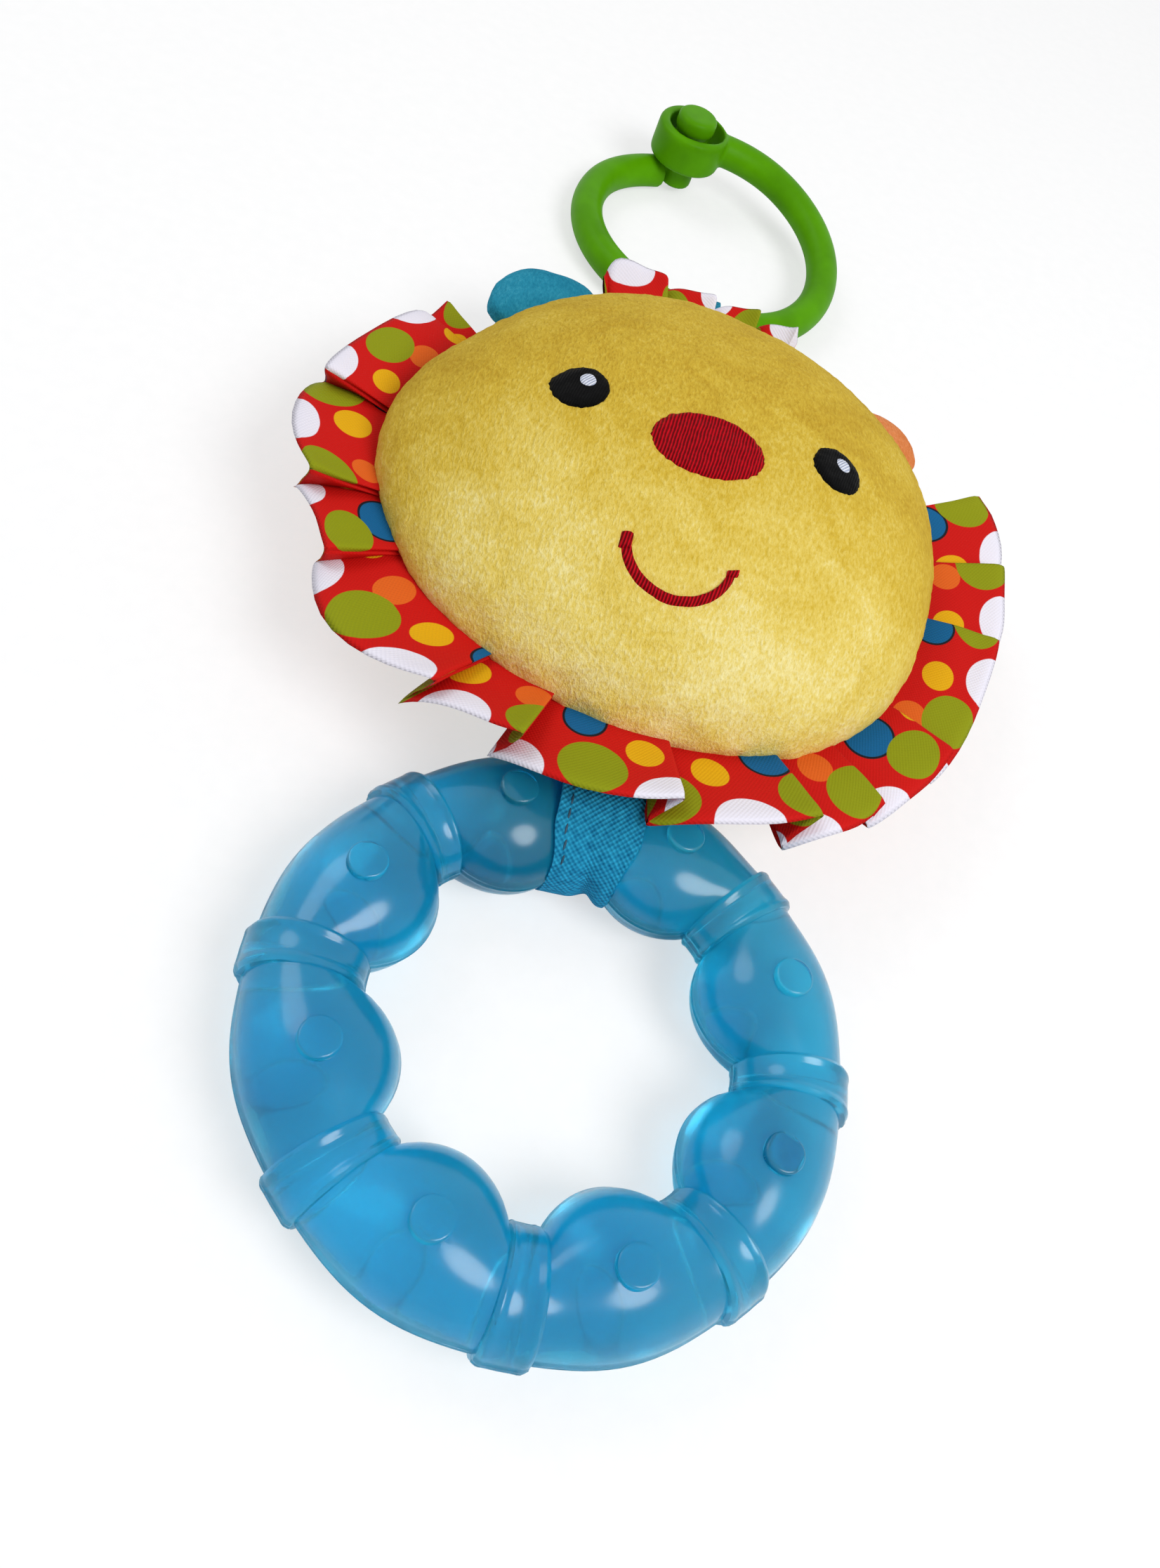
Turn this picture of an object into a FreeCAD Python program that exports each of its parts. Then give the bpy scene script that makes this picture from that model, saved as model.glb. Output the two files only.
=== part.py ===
"""Soft animal-head teether: stuffed face, gathered mane, water-filled ring and snap link.

Built lying flat on its back. The ring's centre is the modelling origin, with its parting plane
at z = 0, +Y from the ring to the head and the link, and +Z towards the face. The last step
shifts every piece so that the origin is the middle of the footprint, on the supporting surface.
All sizes are in millimetres and all angles in degrees.
"""

import FreeCAD, Part
import math
import os

# ---------------------------------------------------------------- driving dimensions
FULL_TURN = 360
CUT_MARGIN = 2.0              # how far a cutting form stands past what it cuts

RING_SEGMENTS = 8
RING_OUTER_RADIUS = 42.5      # over the raised bands
LOBE_STEP = 10.9              # each segment bulges inwards round a circle, this far inside the bands
LOBE_SHARE = 0.326            # that circle's radius, as a share of how far out its centre lies
LOBE_CENTRE_RADIUS = RING_OUTER_RADIUS - LOBE_STEP
LOBE_RADIUS = LOBE_CENTRE_RADIUS * LOBE_SHARE
CROWN_STEP = 0.6              # how far the crowns and the necks lie inside the bands
NECK_STEP = 1.3
CROWN_OUTER_RADIUS = RING_OUTER_RADIUS - CROWN_STEP
NECK_OUTER_RADIUS = RING_OUTER_RADIUS - NECK_STEP
CROWN_HALF_HEIGHT = 8.5
NECK_HALF_HEIGHT = 7.2
LOBE_HALF_ANGLE = 18.2        # where the lobe's flank runs into the neck
SECTION_STEPS = 10            # flats along each half-ellipse section

BAND_HALF_ANGLE = 4.6
BAND_INNER_SHARE = 0.8165     # how far in the bands reach, as a share of the lobes' centres
BAND_INNER_RADIUS = LOBE_CENTRE_RADIUS * BAND_INNER_SHARE
BAND_HALF_HEIGHT = 8.4
BAND_EDGE_DROP = 0.5          # how much lower the band's rim is than its crest

STUD_SHIFT = 0.9              # how far the studs lie outside the lobes' centres
STUD_RADIUS = 3.15
STUD_PROUD = 0.9              # how far a stud's middle and its edge stand over the crown
STUD_EDGE_PROUD = 0.25
STUD_DEPTH = 1.55             # how far a stud is rooted in the wall
STUD_SIDES = 14
STUD_CIRCLE_RADIUS = LOBE_CENTRE_RADIUS + STUD_SHIFT
STUD_TOP = CROWN_HALF_HEIGHT + STUD_PROUD
STUD_EDGE = CROWN_HALF_HEIGHT + STUD_EDGE_PROUD
STUD_ROOT = CROWN_HALF_HEIGHT - STUD_DEPTH
SUPPORT_Z = -STUD_TOP         # the table, under the ring's rear studs

CROWN_WALL = 1.9              # wall round the water at a crown
NECK_WALL = 1.45              # wall outside the water passage in a neck, and over it
NECK_ROOF = 1.7
CAVITY_SIDES = 12
CAVITY_NECK_HALF = NECK_HALF_HEIGHT - NECK_ROOF
CAVITY_NECK_RADIUS = NECK_OUTER_RADIUS - NECK_WALL - CAVITY_NECK_HALF
CAVITY_CROWN_HALF_WIDTH = LOBE_RADIUS - CROWN_WALL
CAVITY_CROWN_HALF_HEIGHT = CROWN_HALF_HEIGHT - CROWN_WALL
WATER_CLEARANCE = 0.06

PLUG_SEGMENT = 2              # segment with the filling plug, clockwise from the strap
PLUG_WIDTH = 4.6
PLUG_CORNER = 1.2
PLUG_PROUD = 0.25             # how far the plug stands over the studs
PLUG_FLANGE_HEIGHT = 1.45
PLUG_STEM_RADIUS = 1.6
PLUG_CLEARANCE = 0.05
PLUG_SEAT_DEPTH = 0.5         # how far the plug's bore runs into the water space
PLUG_TOP = STUD_TOP + PLUG_PROUD
PLUG_FLANGE_BOTTOM = PLUG_TOP - PLUG_FLANGE_HEIGHT

SEAM_Z = 6.8                  # height of the head's edge seam
HEAD_X = 4.0
CHIN_GAP = 3.4                # from the ring to the head's seam, at the chin
HEAD_HALF_WIDTH = 48.8
HEAD_HALF_LENGTH = 46.1
HEAD_Y = RING_OUTER_RADIUS + CHIN_GAP + HEAD_HALF_LENGTH
FACE_RISE = 27.2              # from the seam to the top of the stuffed face
PANEL_THICKNESS = 1.2         # plush pile and backing
STUFFING_CLEARANCE = 0.05
HEAD_SIDES = 40
STUFFING_SIDES = 24
FACE_TIERS = (0, 13, 27, 41, 55, 69, 82)
BACK_TIERS = (0, 24, 48, 68)

EYE_SPREAD = 21.6             # from the face's centre line to each eye
FACE_LINE_X = -1.7            # the face's centre line, from the head's centre
EYE_Y = -3.0
EYE_HALF_WIDTH = 4.0
EYE_HALF_HEIGHT = 4.3
GLINT_SHIFT = 0.9
GLINT_RADIUS = 1.05
NOSE_Y = -9.9
NOSE_HALF_WIDTH = 8.7
NOSE_HALF_HEIGHT = 4.9
MOUTH_Y = -26.6
MOUTH_HALF_WIDTH = 7.9
MOUTH_DROP = 7.4
MOUTH_LINE = 1.5
TICK_LENGTH = 2.6             # short stitch across the mouth's left end
TICK_DROP = 0.8
STITCH_RISE = 0.5             # thickness of the satin stitching
GLINT_RISE = 0.75
PATCH_SIDES = 20

RUFFLE_THICKNESS = 1.6
RUFFLE_ROOT_GAP = 0.08        # keeps the ruffle's straight facets off the round seam
MANE_START_ANGLE = -58        # clockwise from the top of the head
MANE_END_ANGLE = -300
MANE_STATIONS = 66
MANE_WIDTH = 16.0
MANE_PLEATS = 15
MANE_PLEAT_HEIGHT = 1.3
MANE_SIDE_RISE = 0.8          # how far the free edge lies over the seam, at the sides and chin
MANE_CHIN_RISE = 5.7
MANE_ROOT_RISE = 0.9          # how far the gathered edge lies over the seam
MANE_CHIN_ROOT_RISE = 2.8
MANE_CHIN_ANGLE = 50          # how far the lift at the chin reaches to each side
CROWN_START_ANGLE = -21
CROWN_END_ANGLE = 17
CROWN_STATIONS = 12
CROWN_PLEATS = 3
CROWN_WIDTH = 14.5
CROWN_ROOT_RISE = 2.8         # heights over the seam
CROWN_EDGE_RISE = 7.7
CROWN_ROOT_Z = SEAM_Z + CROWN_ROOT_RISE
CROWN_EDGE_Z = SEAM_Z + CROWN_EDGE_RISE

LEFT_EAR_ANGLE = -37.5        # each ear's middle, clockwise from the top of the head
RIGHT_EAR_ANGLE = 44.5
EAR_HALF_WIDTH = 11.5
EAR_REACH = 15.5
EAR_HALF_THICKNESS = 3.7
EAR_RISE = 1.8                # how far an ear's middle lies over the seam
EAR_Z = SEAM_Z + EAR_RISE
EAR_TUCK = 8.0                # how far the ear's outline starts inside the seam

STRAP_THICKNESS = 0.7
STRAP_NECK_GAP = 0.75         # slack between the strap and the neck's outer side
STRAP_TOP_GAP = 1.45          # slack over and under the neck
STRAP_HOLE_GAP = 4.62         # slack between the strap and the neck's inner side
STRAP_SIDE_GAP = 0.4          # slack between the strap's sides and the lobes beside it
STRAP_APEX_GAP = 1.5          # from the head's seam to the fold where both ends meet
STRAP_APEX_RISE = 0.2
STRAP_FOLD_REACH = 0.95       # how far the outer fold lies past the inner one
STRAP_FOLD_RISE = 0.55
STRAP_TOP_SPREAD = 2.25       # how much wider each side is over the neck, and at the seam
STRAP_SEAM_SPREAD = 2.9
STRAP_LOW_REACH = 1.15        # where the strap's sides begin and end to spread
STRAP_TOP_REACH = 6.55
STRAP_TAB_GAP = 0.15          # from the sewn ends to the head's seam
STRAP_TAB_UNDER = 0.3         # how far the sewn ends lie under and over the seam line
STRAP_TAB_OVER = 0.6
CHIN_Y = HEAD_Y - HEAD_HALF_LENGTH
STRAP_FAR_Y = NECK_OUTER_RADIUS + STRAP_NECK_GAP
STRAP_INNER_HALF_HEIGHT = NECK_HALF_HEIGHT + STRAP_TOP_GAP
STRAP_INNER_APEX = (CHIN_Y - STRAP_APEX_GAP, SEAM_Z + STRAP_APEX_RISE)
STRAP_OUTER_APEX = (STRAP_INNER_APEX[0] + STRAP_FOLD_REACH, STRAP_INNER_APEX[1] + STRAP_FOLD_RISE)

LINK_SHIFT = 2.2              # the link hangs a little to the right of the head's middle
LINK_GAP = 26.9               # from the head's seam to the middle of the link's near bar
LINK_LIFT = 1.3               # how far the tilted link's near bar lies over the table
LINK_RADIUS = 27.3
LINK_BAR_RADIUS = 3.45
LINK_X = HEAD_X + LINK_SHIFT
LINK_NEAR_Y = HEAD_Y + HEAD_HALF_LENGTH + LINK_GAP
LINK_NEAR_Z = SUPPORT_Z + LINK_LIFT + LINK_BAR_RADIUS
LINK_TILT = -1.2
LINK_RISE = 8.0               # how far the eye end climbs over the peg end
LINK_RISE_ANGLE = 160.0
CLASP_ANGLE = -20.0           # clockwise from the link's far end
CLASP_RADIUS = 25.8
CLASP_ARM_GAP = 10.0          # angle left between the clasp's middle and the end of each arm
CLASP_DRAW_ANGLE = 50.0       # the arms are drawn in towards the clasp from this far round
LINK_STEP = 10.0
LINK_SIDES = 16
EYE_RADIUS = 8.0
EYE_HEIGHT = 7.8
EYE_DROP = 0.6                # how far the eye's cup reaches under its arm
EYE_CHAMFER = 0.7
EYE_HOLE_RADIUS = 5.9
EYE_SLOT = 1.4                # the hole's extra length towards the eye's own arm
EYE_SLOT_STEP = 0.6           # how much narrower the slot is than the hole
PEG_FOOT_RADIUS = 5.0
PEG_STUD_RADIUS = 3.8
PEG_KNOB_RADIUS = 4.4
PEG_KNOB_HEIGHT = 3.6
PEG_KNOB_CHAMFER = 1.2
PEG_OVERLAP = 1.0             # how far the stud runs into the foot and the knob
PEG_PROUD = 2.6               # how far the knob stands above the eye
SNAP_CLEARANCE = 0.3

LOOP_INNER_RADIUS = 4.1
LOOP_THICKNESS = 0.6
LOOP_HALF_WIDTH = 4.0
LOOP_APEX_GAP = 7.5           # from the bar's middle to where both tails meet, and its rise
LOOP_APEX_RISE = 4.05
LOOP_APEX_Y = LINK_NEAR_Y - LOOP_APEX_GAP
LOOP_APEX_Z = LINK_NEAR_Z + LOOP_APEX_RISE
LOOP_SEAM_GAP = 0.15
LOOP_SIDES = 24

# ---------------------------------------------------------------- small helpers


def polar(radius, angle, z=0.0):
    """Point at an angle clockwise from +Y, seen from above."""
    turn = math.radians(angle)
    return FreeCAD.Vector(radius * math.sin(turn), radius * math.cos(turn), z)


def turned(shape, angle, axis=FreeCAD.Vector(0, 0, -1), centre=FreeCAD.Vector(0, 0, 0)):
    """Copy of a shape, turned clockwise about +Z unless another axis is given."""
    copy = shape.copy()
    copy.rotate(centre, axis, angle)
    return copy


def moved(shape, x=0.0, y=0.0, z=0.0):
    """Copy of a shape, shifted."""
    copy = shape.copy()
    copy.translate(FreeCAD.Vector(x, y, z))
    return copy


def joined(shapes):
    """One clean solid from shapes that touch or overlap."""
    return shapes[0].fuse(shapes[1:]).removeSplitter()


def polygon(points):
    """Closed wire through a list of corner points."""
    return Part.makePolygon(points + points[:1])


def flat_faces(corners):
    """One flat face through four corners, or two triangles where they don't share a plane."""
    distinct = []
    for corner in corners:
        if all(corner.distanceToPoint(other) > 1e-6 for other in distinct):
            distinct.append(corner)
    if len(distinct) < 3:
        return []
    first, second, third = distinct[:3]
    if len(distinct) == 3:
        return [Part.Face(polygon(distinct))]
    normal = (second - first).cross(third - first)
    if abs(normal.dot(distinct[3] - first)) < 1e-7 * normal.Length:
        return [Part.Face(polygon(distinct))]
    return [Part.Face(polygon([first, second, third])), Part.Face(polygon([first, third, distinct[3]]))]


def strip(near, far):
    """Flat faces between two rows with the same number of points."""
    faces = []
    for index in range(len(near) - 1):
        faces += flat_faces([near[index], near[index + 1], far[index + 1], far[index]])
    return faces


def solid_from(faces):
    """Closed solid from faces that share their edges."""
    solid = Part.Solid(Part.Shell(faces))
    if solid.Volume < 0:
        solid.reverse()
    return solid


def stacked(outlines):
    """Solid through closed outlines, given as equal lists of corners, with flat ends."""
    faces = [Part.Face(polygon(outlines[0])), Part.Face(polygon(outlines[-1]))]
    for near, far in zip(outlines, outlines[1:]):
        faces += strip(near + near[:1], far + far[:1])
    return solid_from(faces)


def oval_corners(centre, half_width, half_length, sides, angle=0.0):
    """Corners of a level oval, turned clockwise by an angle."""
    corners = []
    for side in range(sides):
        turn = 2 * math.pi * side / sides
        shift = FreeCAD.Vector(half_width * math.cos(turn), half_length * math.sin(turn), 0)
        across = polar(shift.x, 90 + angle)
        corners.append(centre + across + polar(shift.y, angle))
    return corners


def prism(points, bottom, top):
    """Upright prism over plan points, from one height to another."""
    face = Part.Face(polygon([FreeCAD.Vector(x, y, bottom) for x, y in points]))
    return face.extrude(FreeCAD.Vector(0, 0, top - bottom))


def disc(radius, bottom, top, x=0.0, y=0.0):
    """Upright cylinder between two heights."""
    return Part.makeCylinder(radius, top - bottom, FreeCAD.Vector(x, y, bottom))


# ---------------------------------------------------------------- water-filled ring


def arch(inner, outer, height, angle, steps):
    """Points of a half ellipse over the parting plane, in the radial plane at an angle."""
    middle = (inner + outer) / 2
    half = (outer - inner) / 2
    points = []
    for step in range(steps + 1):
        turn = math.pi * step / steps
        points.append(polar(middle + half * math.cos(turn), angle, height * math.sin(turn)))
    points[0].z = 0
    points[-1].z = 0
    return points


def lobe_form(angle):
    """Inner radius, outer radius and half height of a segment at an angle from its crown."""
    turn = math.radians(min(abs(angle), LOBE_HALF_ANGLE))
    chord = LOBE_RADIUS ** 2 - (LOBE_CENTRE_RADIUS * math.sin(turn)) ** 2
    inner = LOBE_CENTRE_RADIUS * math.cos(turn) - math.sqrt(chord)
    blend = (1 + math.cos(RING_SEGMENTS * turn)) / 2
    outer = NECK_OUTER_RADIUS + (CROWN_OUTER_RADIUS - NECK_OUTER_RADIUS) * blend
    height = NECK_HALF_HEIGHT + (CROWN_HALF_HEIGHT - NECK_HALF_HEIGHT) * blend
    return inner, outer, height


def band_form(angle):
    """The same for a raised band, at an angle from the middle of its neck."""
    drop = BAND_EDGE_DROP * (abs(angle) / BAND_HALF_ANGLE) ** 2
    return BAND_INNER_RADIUS + drop, RING_OUTER_RADIUS - drop, BAND_HALF_HEIGHT - drop


def outer_arches():
    """Sections all round the ring: seven banded necks, and a plain one under the strap."""
    half_step = FULL_TURN / RING_SEGMENTS / 2
    rim = half_step - BAND_HALF_ANGLE
    arches = []
    for index in range(RING_SEGMENTS):
        neck = index * 2 * half_step
        for share in (-1, -0.55, 0, 0.55, 1):
            angle = share * BAND_HALF_ANGLE
            form = band_form(angle) if index else lobe_form(half_step - abs(angle))
            arches.append(arch(*form, neck + angle, SECTION_STEPS))
        for share in (-1, -0.9, -0.7, -0.4, 0, 0.4, 0.7, 0.9, 1):
            angle = share * rim
            arches.append(arch(*lobe_form(angle), neck + half_step + angle, SECTION_STEPS))
    return arches


def cavity_arches(clearance):
    """Half sections of the water space, at every neck and every crown."""
    half_step = FULL_TURN / RING_SEGMENTS / 2
    arches = []
    for index in range(2 * RING_SEGMENTS):
        centre = LOBE_CENTRE_RADIUS if index % 2 else CAVITY_NECK_RADIUS
        half_width = (CAVITY_CROWN_HALF_WIDTH if index % 2 else CAVITY_NECK_HALF) - clearance
        height = (CAVITY_CROWN_HALF_HEIGHT if index % 2 else CAVITY_NECK_HALF) - clearance
        inner = centre - half_width
        arches.append(arch(inner, centre + half_width, height, index * half_step, CAVITY_SIDES // 2))
    return arches


def skin(arches):
    """Faces over a closed row of arches."""
    faces = []
    for near, far in zip(arches, arches[1:] + arches[:1]):
        faces += strip(near, far)
    return faces


def edge_loop(arches, end):
    """Closed wire along one foot of a row of arches."""
    corners = []
    for points in arches:
        if not corners or points[end].distanceToPoint(corners[-1]) > 1e-6:
            corners.append(points[end])
    return polygon(corners)


def half_ring():
    """Front half of the ring, solid, without studs."""
    outside = outer_arches()
    feet = [edge_loop(outside, 0), edge_loop(outside, -1)]
    parting = Part.makeFace(feet, "Part::FaceMakerBullseye")
    return solid_from(skin(outside) + [parting])


def water(clearance):
    """The ring-shaped water space, made smaller all round by a clearance."""
    upper = cavity_arches(clearance)
    faces = skin(upper)
    for points in upper:
        for point in points:
            point.z = -point.z
    return solid_from(faces + skin(upper))


def stud():
    """Low domed stud on the first segment's crown."""
    place = polar(STUD_CIRCLE_RADIUS, FULL_TURN / RING_SEGMENTS / 2)
    outlines = []
    for share, height in ((1, STUD_ROOT), (1, STUD_EDGE), (0.55, STUD_TOP)):
        centre = FreeCAD.Vector(place.x, place.y, height)
        radius = STUD_RADIUS * share
        outlines.append(oval_corners(centre, radius, radius, STUD_SIDES))
    return stacked(outlines)


def rounded_square(width, corner, bottom, top):
    """Upright square prism with rounded corners, round the origin."""
    block = Part.makeBox(width, width, top - bottom, FreeCAD.Vector(-width / 2, -width / 2, bottom))
    upright = [edge for edge in block.Edges if abs(edge.tangentAt(edge.FirstParameter).z) > 0.9]
    return block.makeFillet(corner, upright)


def plug_form(clearance, top):
    """Filling plug, or with a clearance its seat: a square flange on a round stem."""
    water_top = CAVITY_CROWN_HALF_HEIGHT - PLUG_SEAT_DEPTH
    width = PLUG_WIDTH + 2 * clearance
    flange = rounded_square(width, PLUG_CORNER, PLUG_FLANGE_BOTTOM - clearance, top)
    stem = disc(PLUG_STEM_RADIUS + clearance, water_top if clearance else STUD_ROOT, top)
    return joined([flange, stem])


def ring_pieces():
    """Both welded shells, the water and the filling plug."""
    half_step = FULL_TURN / RING_SEGMENTS / 2
    studs = [turned(stud(), index * 2 * half_step) for index in range(RING_SEGMENTS)]
    half = half_ring().cut(water(0)).fuse(studs)
    mirrored = half.mirror(FreeCAD.Vector(0, 0, 0), FreeCAD.Vector(0, 0, 1))
    plug_angle = (PLUG_SEGMENT * 2 + 1) * half_step
    plug_place = polar(STUD_CIRCLE_RADIUS, plug_angle)
    seat = turned(plug_form(PLUG_CLEARANCE, STUD_TOP + CUT_MARGIN), plug_angle)
    plug = turned(plug_form(0, PLUG_TOP), plug_angle)
    return {
        "ring_front_shell": half.cut(moved(seat, plug_place.x, plug_place.y)),
        "ring_back_shell": mirrored,
        "ring_water": water(WATER_CLEARANCE),
        "fill_plug": moved(plug, plug_place.x, plug_place.y),
    }


# ---------------------------------------------------------------- stuffed head


def cushion(rise, tiers, inset=0.0, sides=HEAD_SIDES):
    """Half of the stuffed head, from the seam: rising for the face, falling for the back."""
    outlines = []
    for angle in tiers:
        turn = math.radians(angle)
        height = math.copysign(abs(rise) - inset, rise) * math.sin(turn)
        centre = FreeCAD.Vector(HEAD_X, HEAD_Y, SEAM_Z + height)
        half_width = (HEAD_HALF_WIDTH - inset) * math.cos(turn)
        half_length = (HEAD_HALF_LENGTH - inset) * math.cos(turn)
        outlines.append(oval_corners(centre, half_width, half_length, sides))
    return stacked(outlines)


def back_drop():
    """Depth that puts the back panel's flat on the table."""
    return (SUPPORT_Z - SEAM_Z) / math.sin(math.radians(BACK_TIERS[-1]))


def on_face(outline, rise, base=0.0):
    """Stitched patch: the plan outline pressed on the face, with an even thickness."""
    raised = cushion(FACE_RISE, FACE_TIERS, -rise)
    under = cushion(FACE_RISE, FACE_TIERS, -base)
    return outline.common(raised).cut(under)


def oval(x, y, half_width, half_height, tilt=0.0):
    """Upright oval prism through the face, tilted clockwise."""
    centre = FreeCAD.Vector(HEAD_X + x, HEAD_Y + y, SEAM_Z + CUT_MARGIN)
    corners = oval_corners(centre, half_width, half_height, PATCH_SIDES, tilt)
    return Part.Face(polygon(corners)).extrude(FreeCAD.Vector(0, 0, FACE_RISE + CUT_MARGIN))


def mouth_prism():
    """Smile: a crescent line under the nose, with a short tick across its left end."""
    radius = (MOUTH_HALF_WIDTH ** 2 + MOUTH_DROP ** 2) / (2 * MOUTH_DROP)
    centre = FreeCAD.Vector(HEAD_X + FACE_LINE_X, HEAD_Y + MOUTH_Y + radius - MOUTH_DROP, SEAM_Z)
    half_angle = math.degrees(math.asin(min(1, MOUTH_HALF_WIDTH / radius)))
    if MOUTH_DROP > radius:
        half_angle = FULL_TURN / 2 - half_angle
    height = FACE_RISE + CUT_MARGIN
    up = FreeCAD.Vector(0, 0, 1)
    start = FULL_TURN * 3 / 4 - half_angle
    outer = Part.makeCylinder(radius + MOUTH_LINE / 2, height, centre, up, 2 * half_angle)
    inner = Part.makeCylinder(radius - MOUTH_LINE / 2, height, centre, up, 2 * half_angle)
    line = outer.cut(inner)
    line.rotate(centre, up, start)
    left_x = HEAD_X + FACE_LINE_X - MOUTH_HALF_WIDTH - TICK_LENGTH / 2
    tick_corner = FreeCAD.Vector(left_x, HEAD_Y + MOUTH_Y - TICK_DROP, SEAM_Z)
    return line.fuse(Part.makeBox(TICK_LENGTH, MOUTH_LINE, height, tick_corner))


def head_pieces():
    """Face and back panels, stuffing and all the stitched features."""
    drop = back_drop()
    pieces = {}
    inner_face = cushion(FACE_RISE, FACE_TIERS, PANEL_THICKNESS, STUFFING_SIDES)
    inner_back = cushion(drop, BACK_TIERS, PANEL_THICKNESS, STUFFING_SIDES)
    pieces["face_panel"] = cushion(FACE_RISE, FACE_TIERS).cut(inner_face)
    pieces["head_back_panel"] = cushion(drop, BACK_TIERS).cut(inner_back)
    full = PANEL_THICKNESS + STUFFING_CLEARANCE
    upper = cushion(FACE_RISE, FACE_TIERS, full, STUFFING_SIDES)
    lower = cushion(drop, BACK_TIERS, full, STUFFING_SIDES)
    pieces["head_stuffing"] = joined([upper, lower])
    for side, name in ((-1, "left"), (1, "right")):
        x = FACE_LINE_X + side * EYE_SPREAD
        eye = oval(x, EYE_Y, EYE_HALF_WIDTH, EYE_HALF_HEIGHT, side * 18)
        glint = oval(x + GLINT_SHIFT, EYE_Y + GLINT_SHIFT, GLINT_RADIUS, GLINT_RADIUS * 1.3)
        pieces[name + "_eye_embroidery"] = on_face(eye, STITCH_RISE)
        pieces[name + "_eye_glint"] = on_face(glint, GLINT_RISE, STITCH_RISE)
    nose = oval(FACE_LINE_X, NOSE_Y, NOSE_HALF_WIDTH, NOSE_HALF_HEIGHT, -4)
    pieces["nose_embroidery"] = on_face(nose, STITCH_RISE)
    pieces["mouth_embroidery"] = on_face(mouth_prism(), STITCH_RISE)
    return pieces


def ear(angle):
    """Rounded stuffed ear: stacked petal outlines, trimmed where they meet the head."""
    levels = ((-1.0, 0.62), (-0.6, 0.9), (0, 1.0), (0.6, 0.9), (1.0, 0.62))
    outlines = []
    for level, scale in levels:
        corners = []
        for step in range(11):
            turn = math.pi * step / 10
            x = EAR_HALF_WIDTH * scale * math.cos(turn)
            y = (EAR_REACH + EAR_TUCK) * (0.5 + 0.5 * scale) * math.sin(turn) ** 0.8
            corners.append(FreeCAD.Vector(x, y, level * EAR_HALF_THICKNESS))
        outlines.append(corners)
    petal = stacked(outlines)
    place = polar(1, angle)
    root_x = HEAD_X + place.x * (HEAD_HALF_WIDTH - EAR_TUCK)
    root_y = HEAD_Y + place.y * (HEAD_HALF_LENGTH - EAR_TUCK)
    petal = moved(turned(petal, angle), root_x, root_y, EAR_Z)
    return petal.cut([cushion(FACE_RISE, FACE_TIERS), cushion(back_drop(), BACK_TIERS)])


# ---------------------------------------------------------------- gathered ruffles


def ruffle(start, end, stations, width_at, root_z_at, edge_z_at, pleats, pleat_height):
    """Gathered strip from the head's seam outwards, as one closed folded plate."""
    rows = ((0.0, 0.15), (0.45, 0.8), (1.0, 1.0))
    top = []
    bottom = []
    for station in range(stations + 1):
        share = station / stations
        angle = start + (end - start) * share
        turn = math.radians(angle)
        out = FreeCAD.Vector(math.sin(turn), math.cos(turn), 0)
        root = FreeCAD.Vector(HEAD_X + out.x * (HEAD_HALF_WIDTH + RUFFLE_ROOT_GAP),
                              HEAD_Y + out.y * (HEAD_HALF_LENGTH + RUFFLE_ROOT_GAP), 0)
        fold = math.cos(2 * math.pi * pleats * share)
        upper = []
        lower = []
        for reach, gather in rows:
            height = root_z_at(angle) + (edge_z_at(angle) - root_z_at(angle)) * reach
            height = height + pleat_height * fold * gather
            length = width_at(angle) * reach * (1 + 0.05 * fold)
            point = root + out * length
            upper.append(FreeCAD.Vector(point.x, point.y, height + RUFFLE_THICKNESS / 2))
            lower.append(FreeCAD.Vector(point.x, point.y, height - RUFFLE_THICKNESS / 2))
        top.append(upper)
        bottom.append(lower)
    return folded_plate(top, bottom)


def folded_plate(top, bottom):
    """Closed solid between two equal grids of points."""
    faces = strip(top[0], bottom[0]) + strip(top[-1], bottom[-1])
    for index in range(len(top) - 1):
        faces += strip(top[index], top[index + 1]) + strip(bottom[index], bottom[index + 1])
    for edge in (0, -1):
        faces += strip([row[edge] for row in top], [row[edge] for row in bottom])
    return solid_from(faces)


def chin_share(angle):
    """1 at the chin, 0 from some way either side of it, with a smooth change between."""
    away = abs(angle + FULL_TURN / 2) / MANE_CHIN_ANGLE
    return 0.5 + 0.5 * math.cos(math.pi * min(1, away))


def mane():
    """Long ruffle from the left ear round the chin to the right ear."""
    def root_z(angle):
        lift = MANE_CHIN_ROOT_RISE - MANE_ROOT_RISE
        return SEAM_Z + MANE_ROOT_RISE + lift * chin_share(angle)

    def edge_z(angle):
        return SEAM_Z + MANE_SIDE_RISE + (MANE_CHIN_RISE - MANE_SIDE_RISE) * chin_share(angle)

    return ruffle(MANE_START_ANGLE, MANE_END_ANGLE, MANE_STATIONS, lambda angle: MANE_WIDTH, root_z, edge_z,
                  MANE_PLEATS, MANE_PLEAT_HEIGHT)


def crown_ruffle():
    """Short ruffle on the top of the head, in front of the hanging loop."""
    return ruffle(CROWN_START_ANGLE, CROWN_END_ANGLE, CROWN_STATIONS, lambda angle: CROWN_WIDTH,
                  lambda angle: CROWN_ROOT_Z, lambda angle: CROWN_EDGE_Z, CROWN_PLEATS,
                  MANE_PLEAT_HEIGHT)


# ---------------------------------------------------------------- strap and hanging loop


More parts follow.
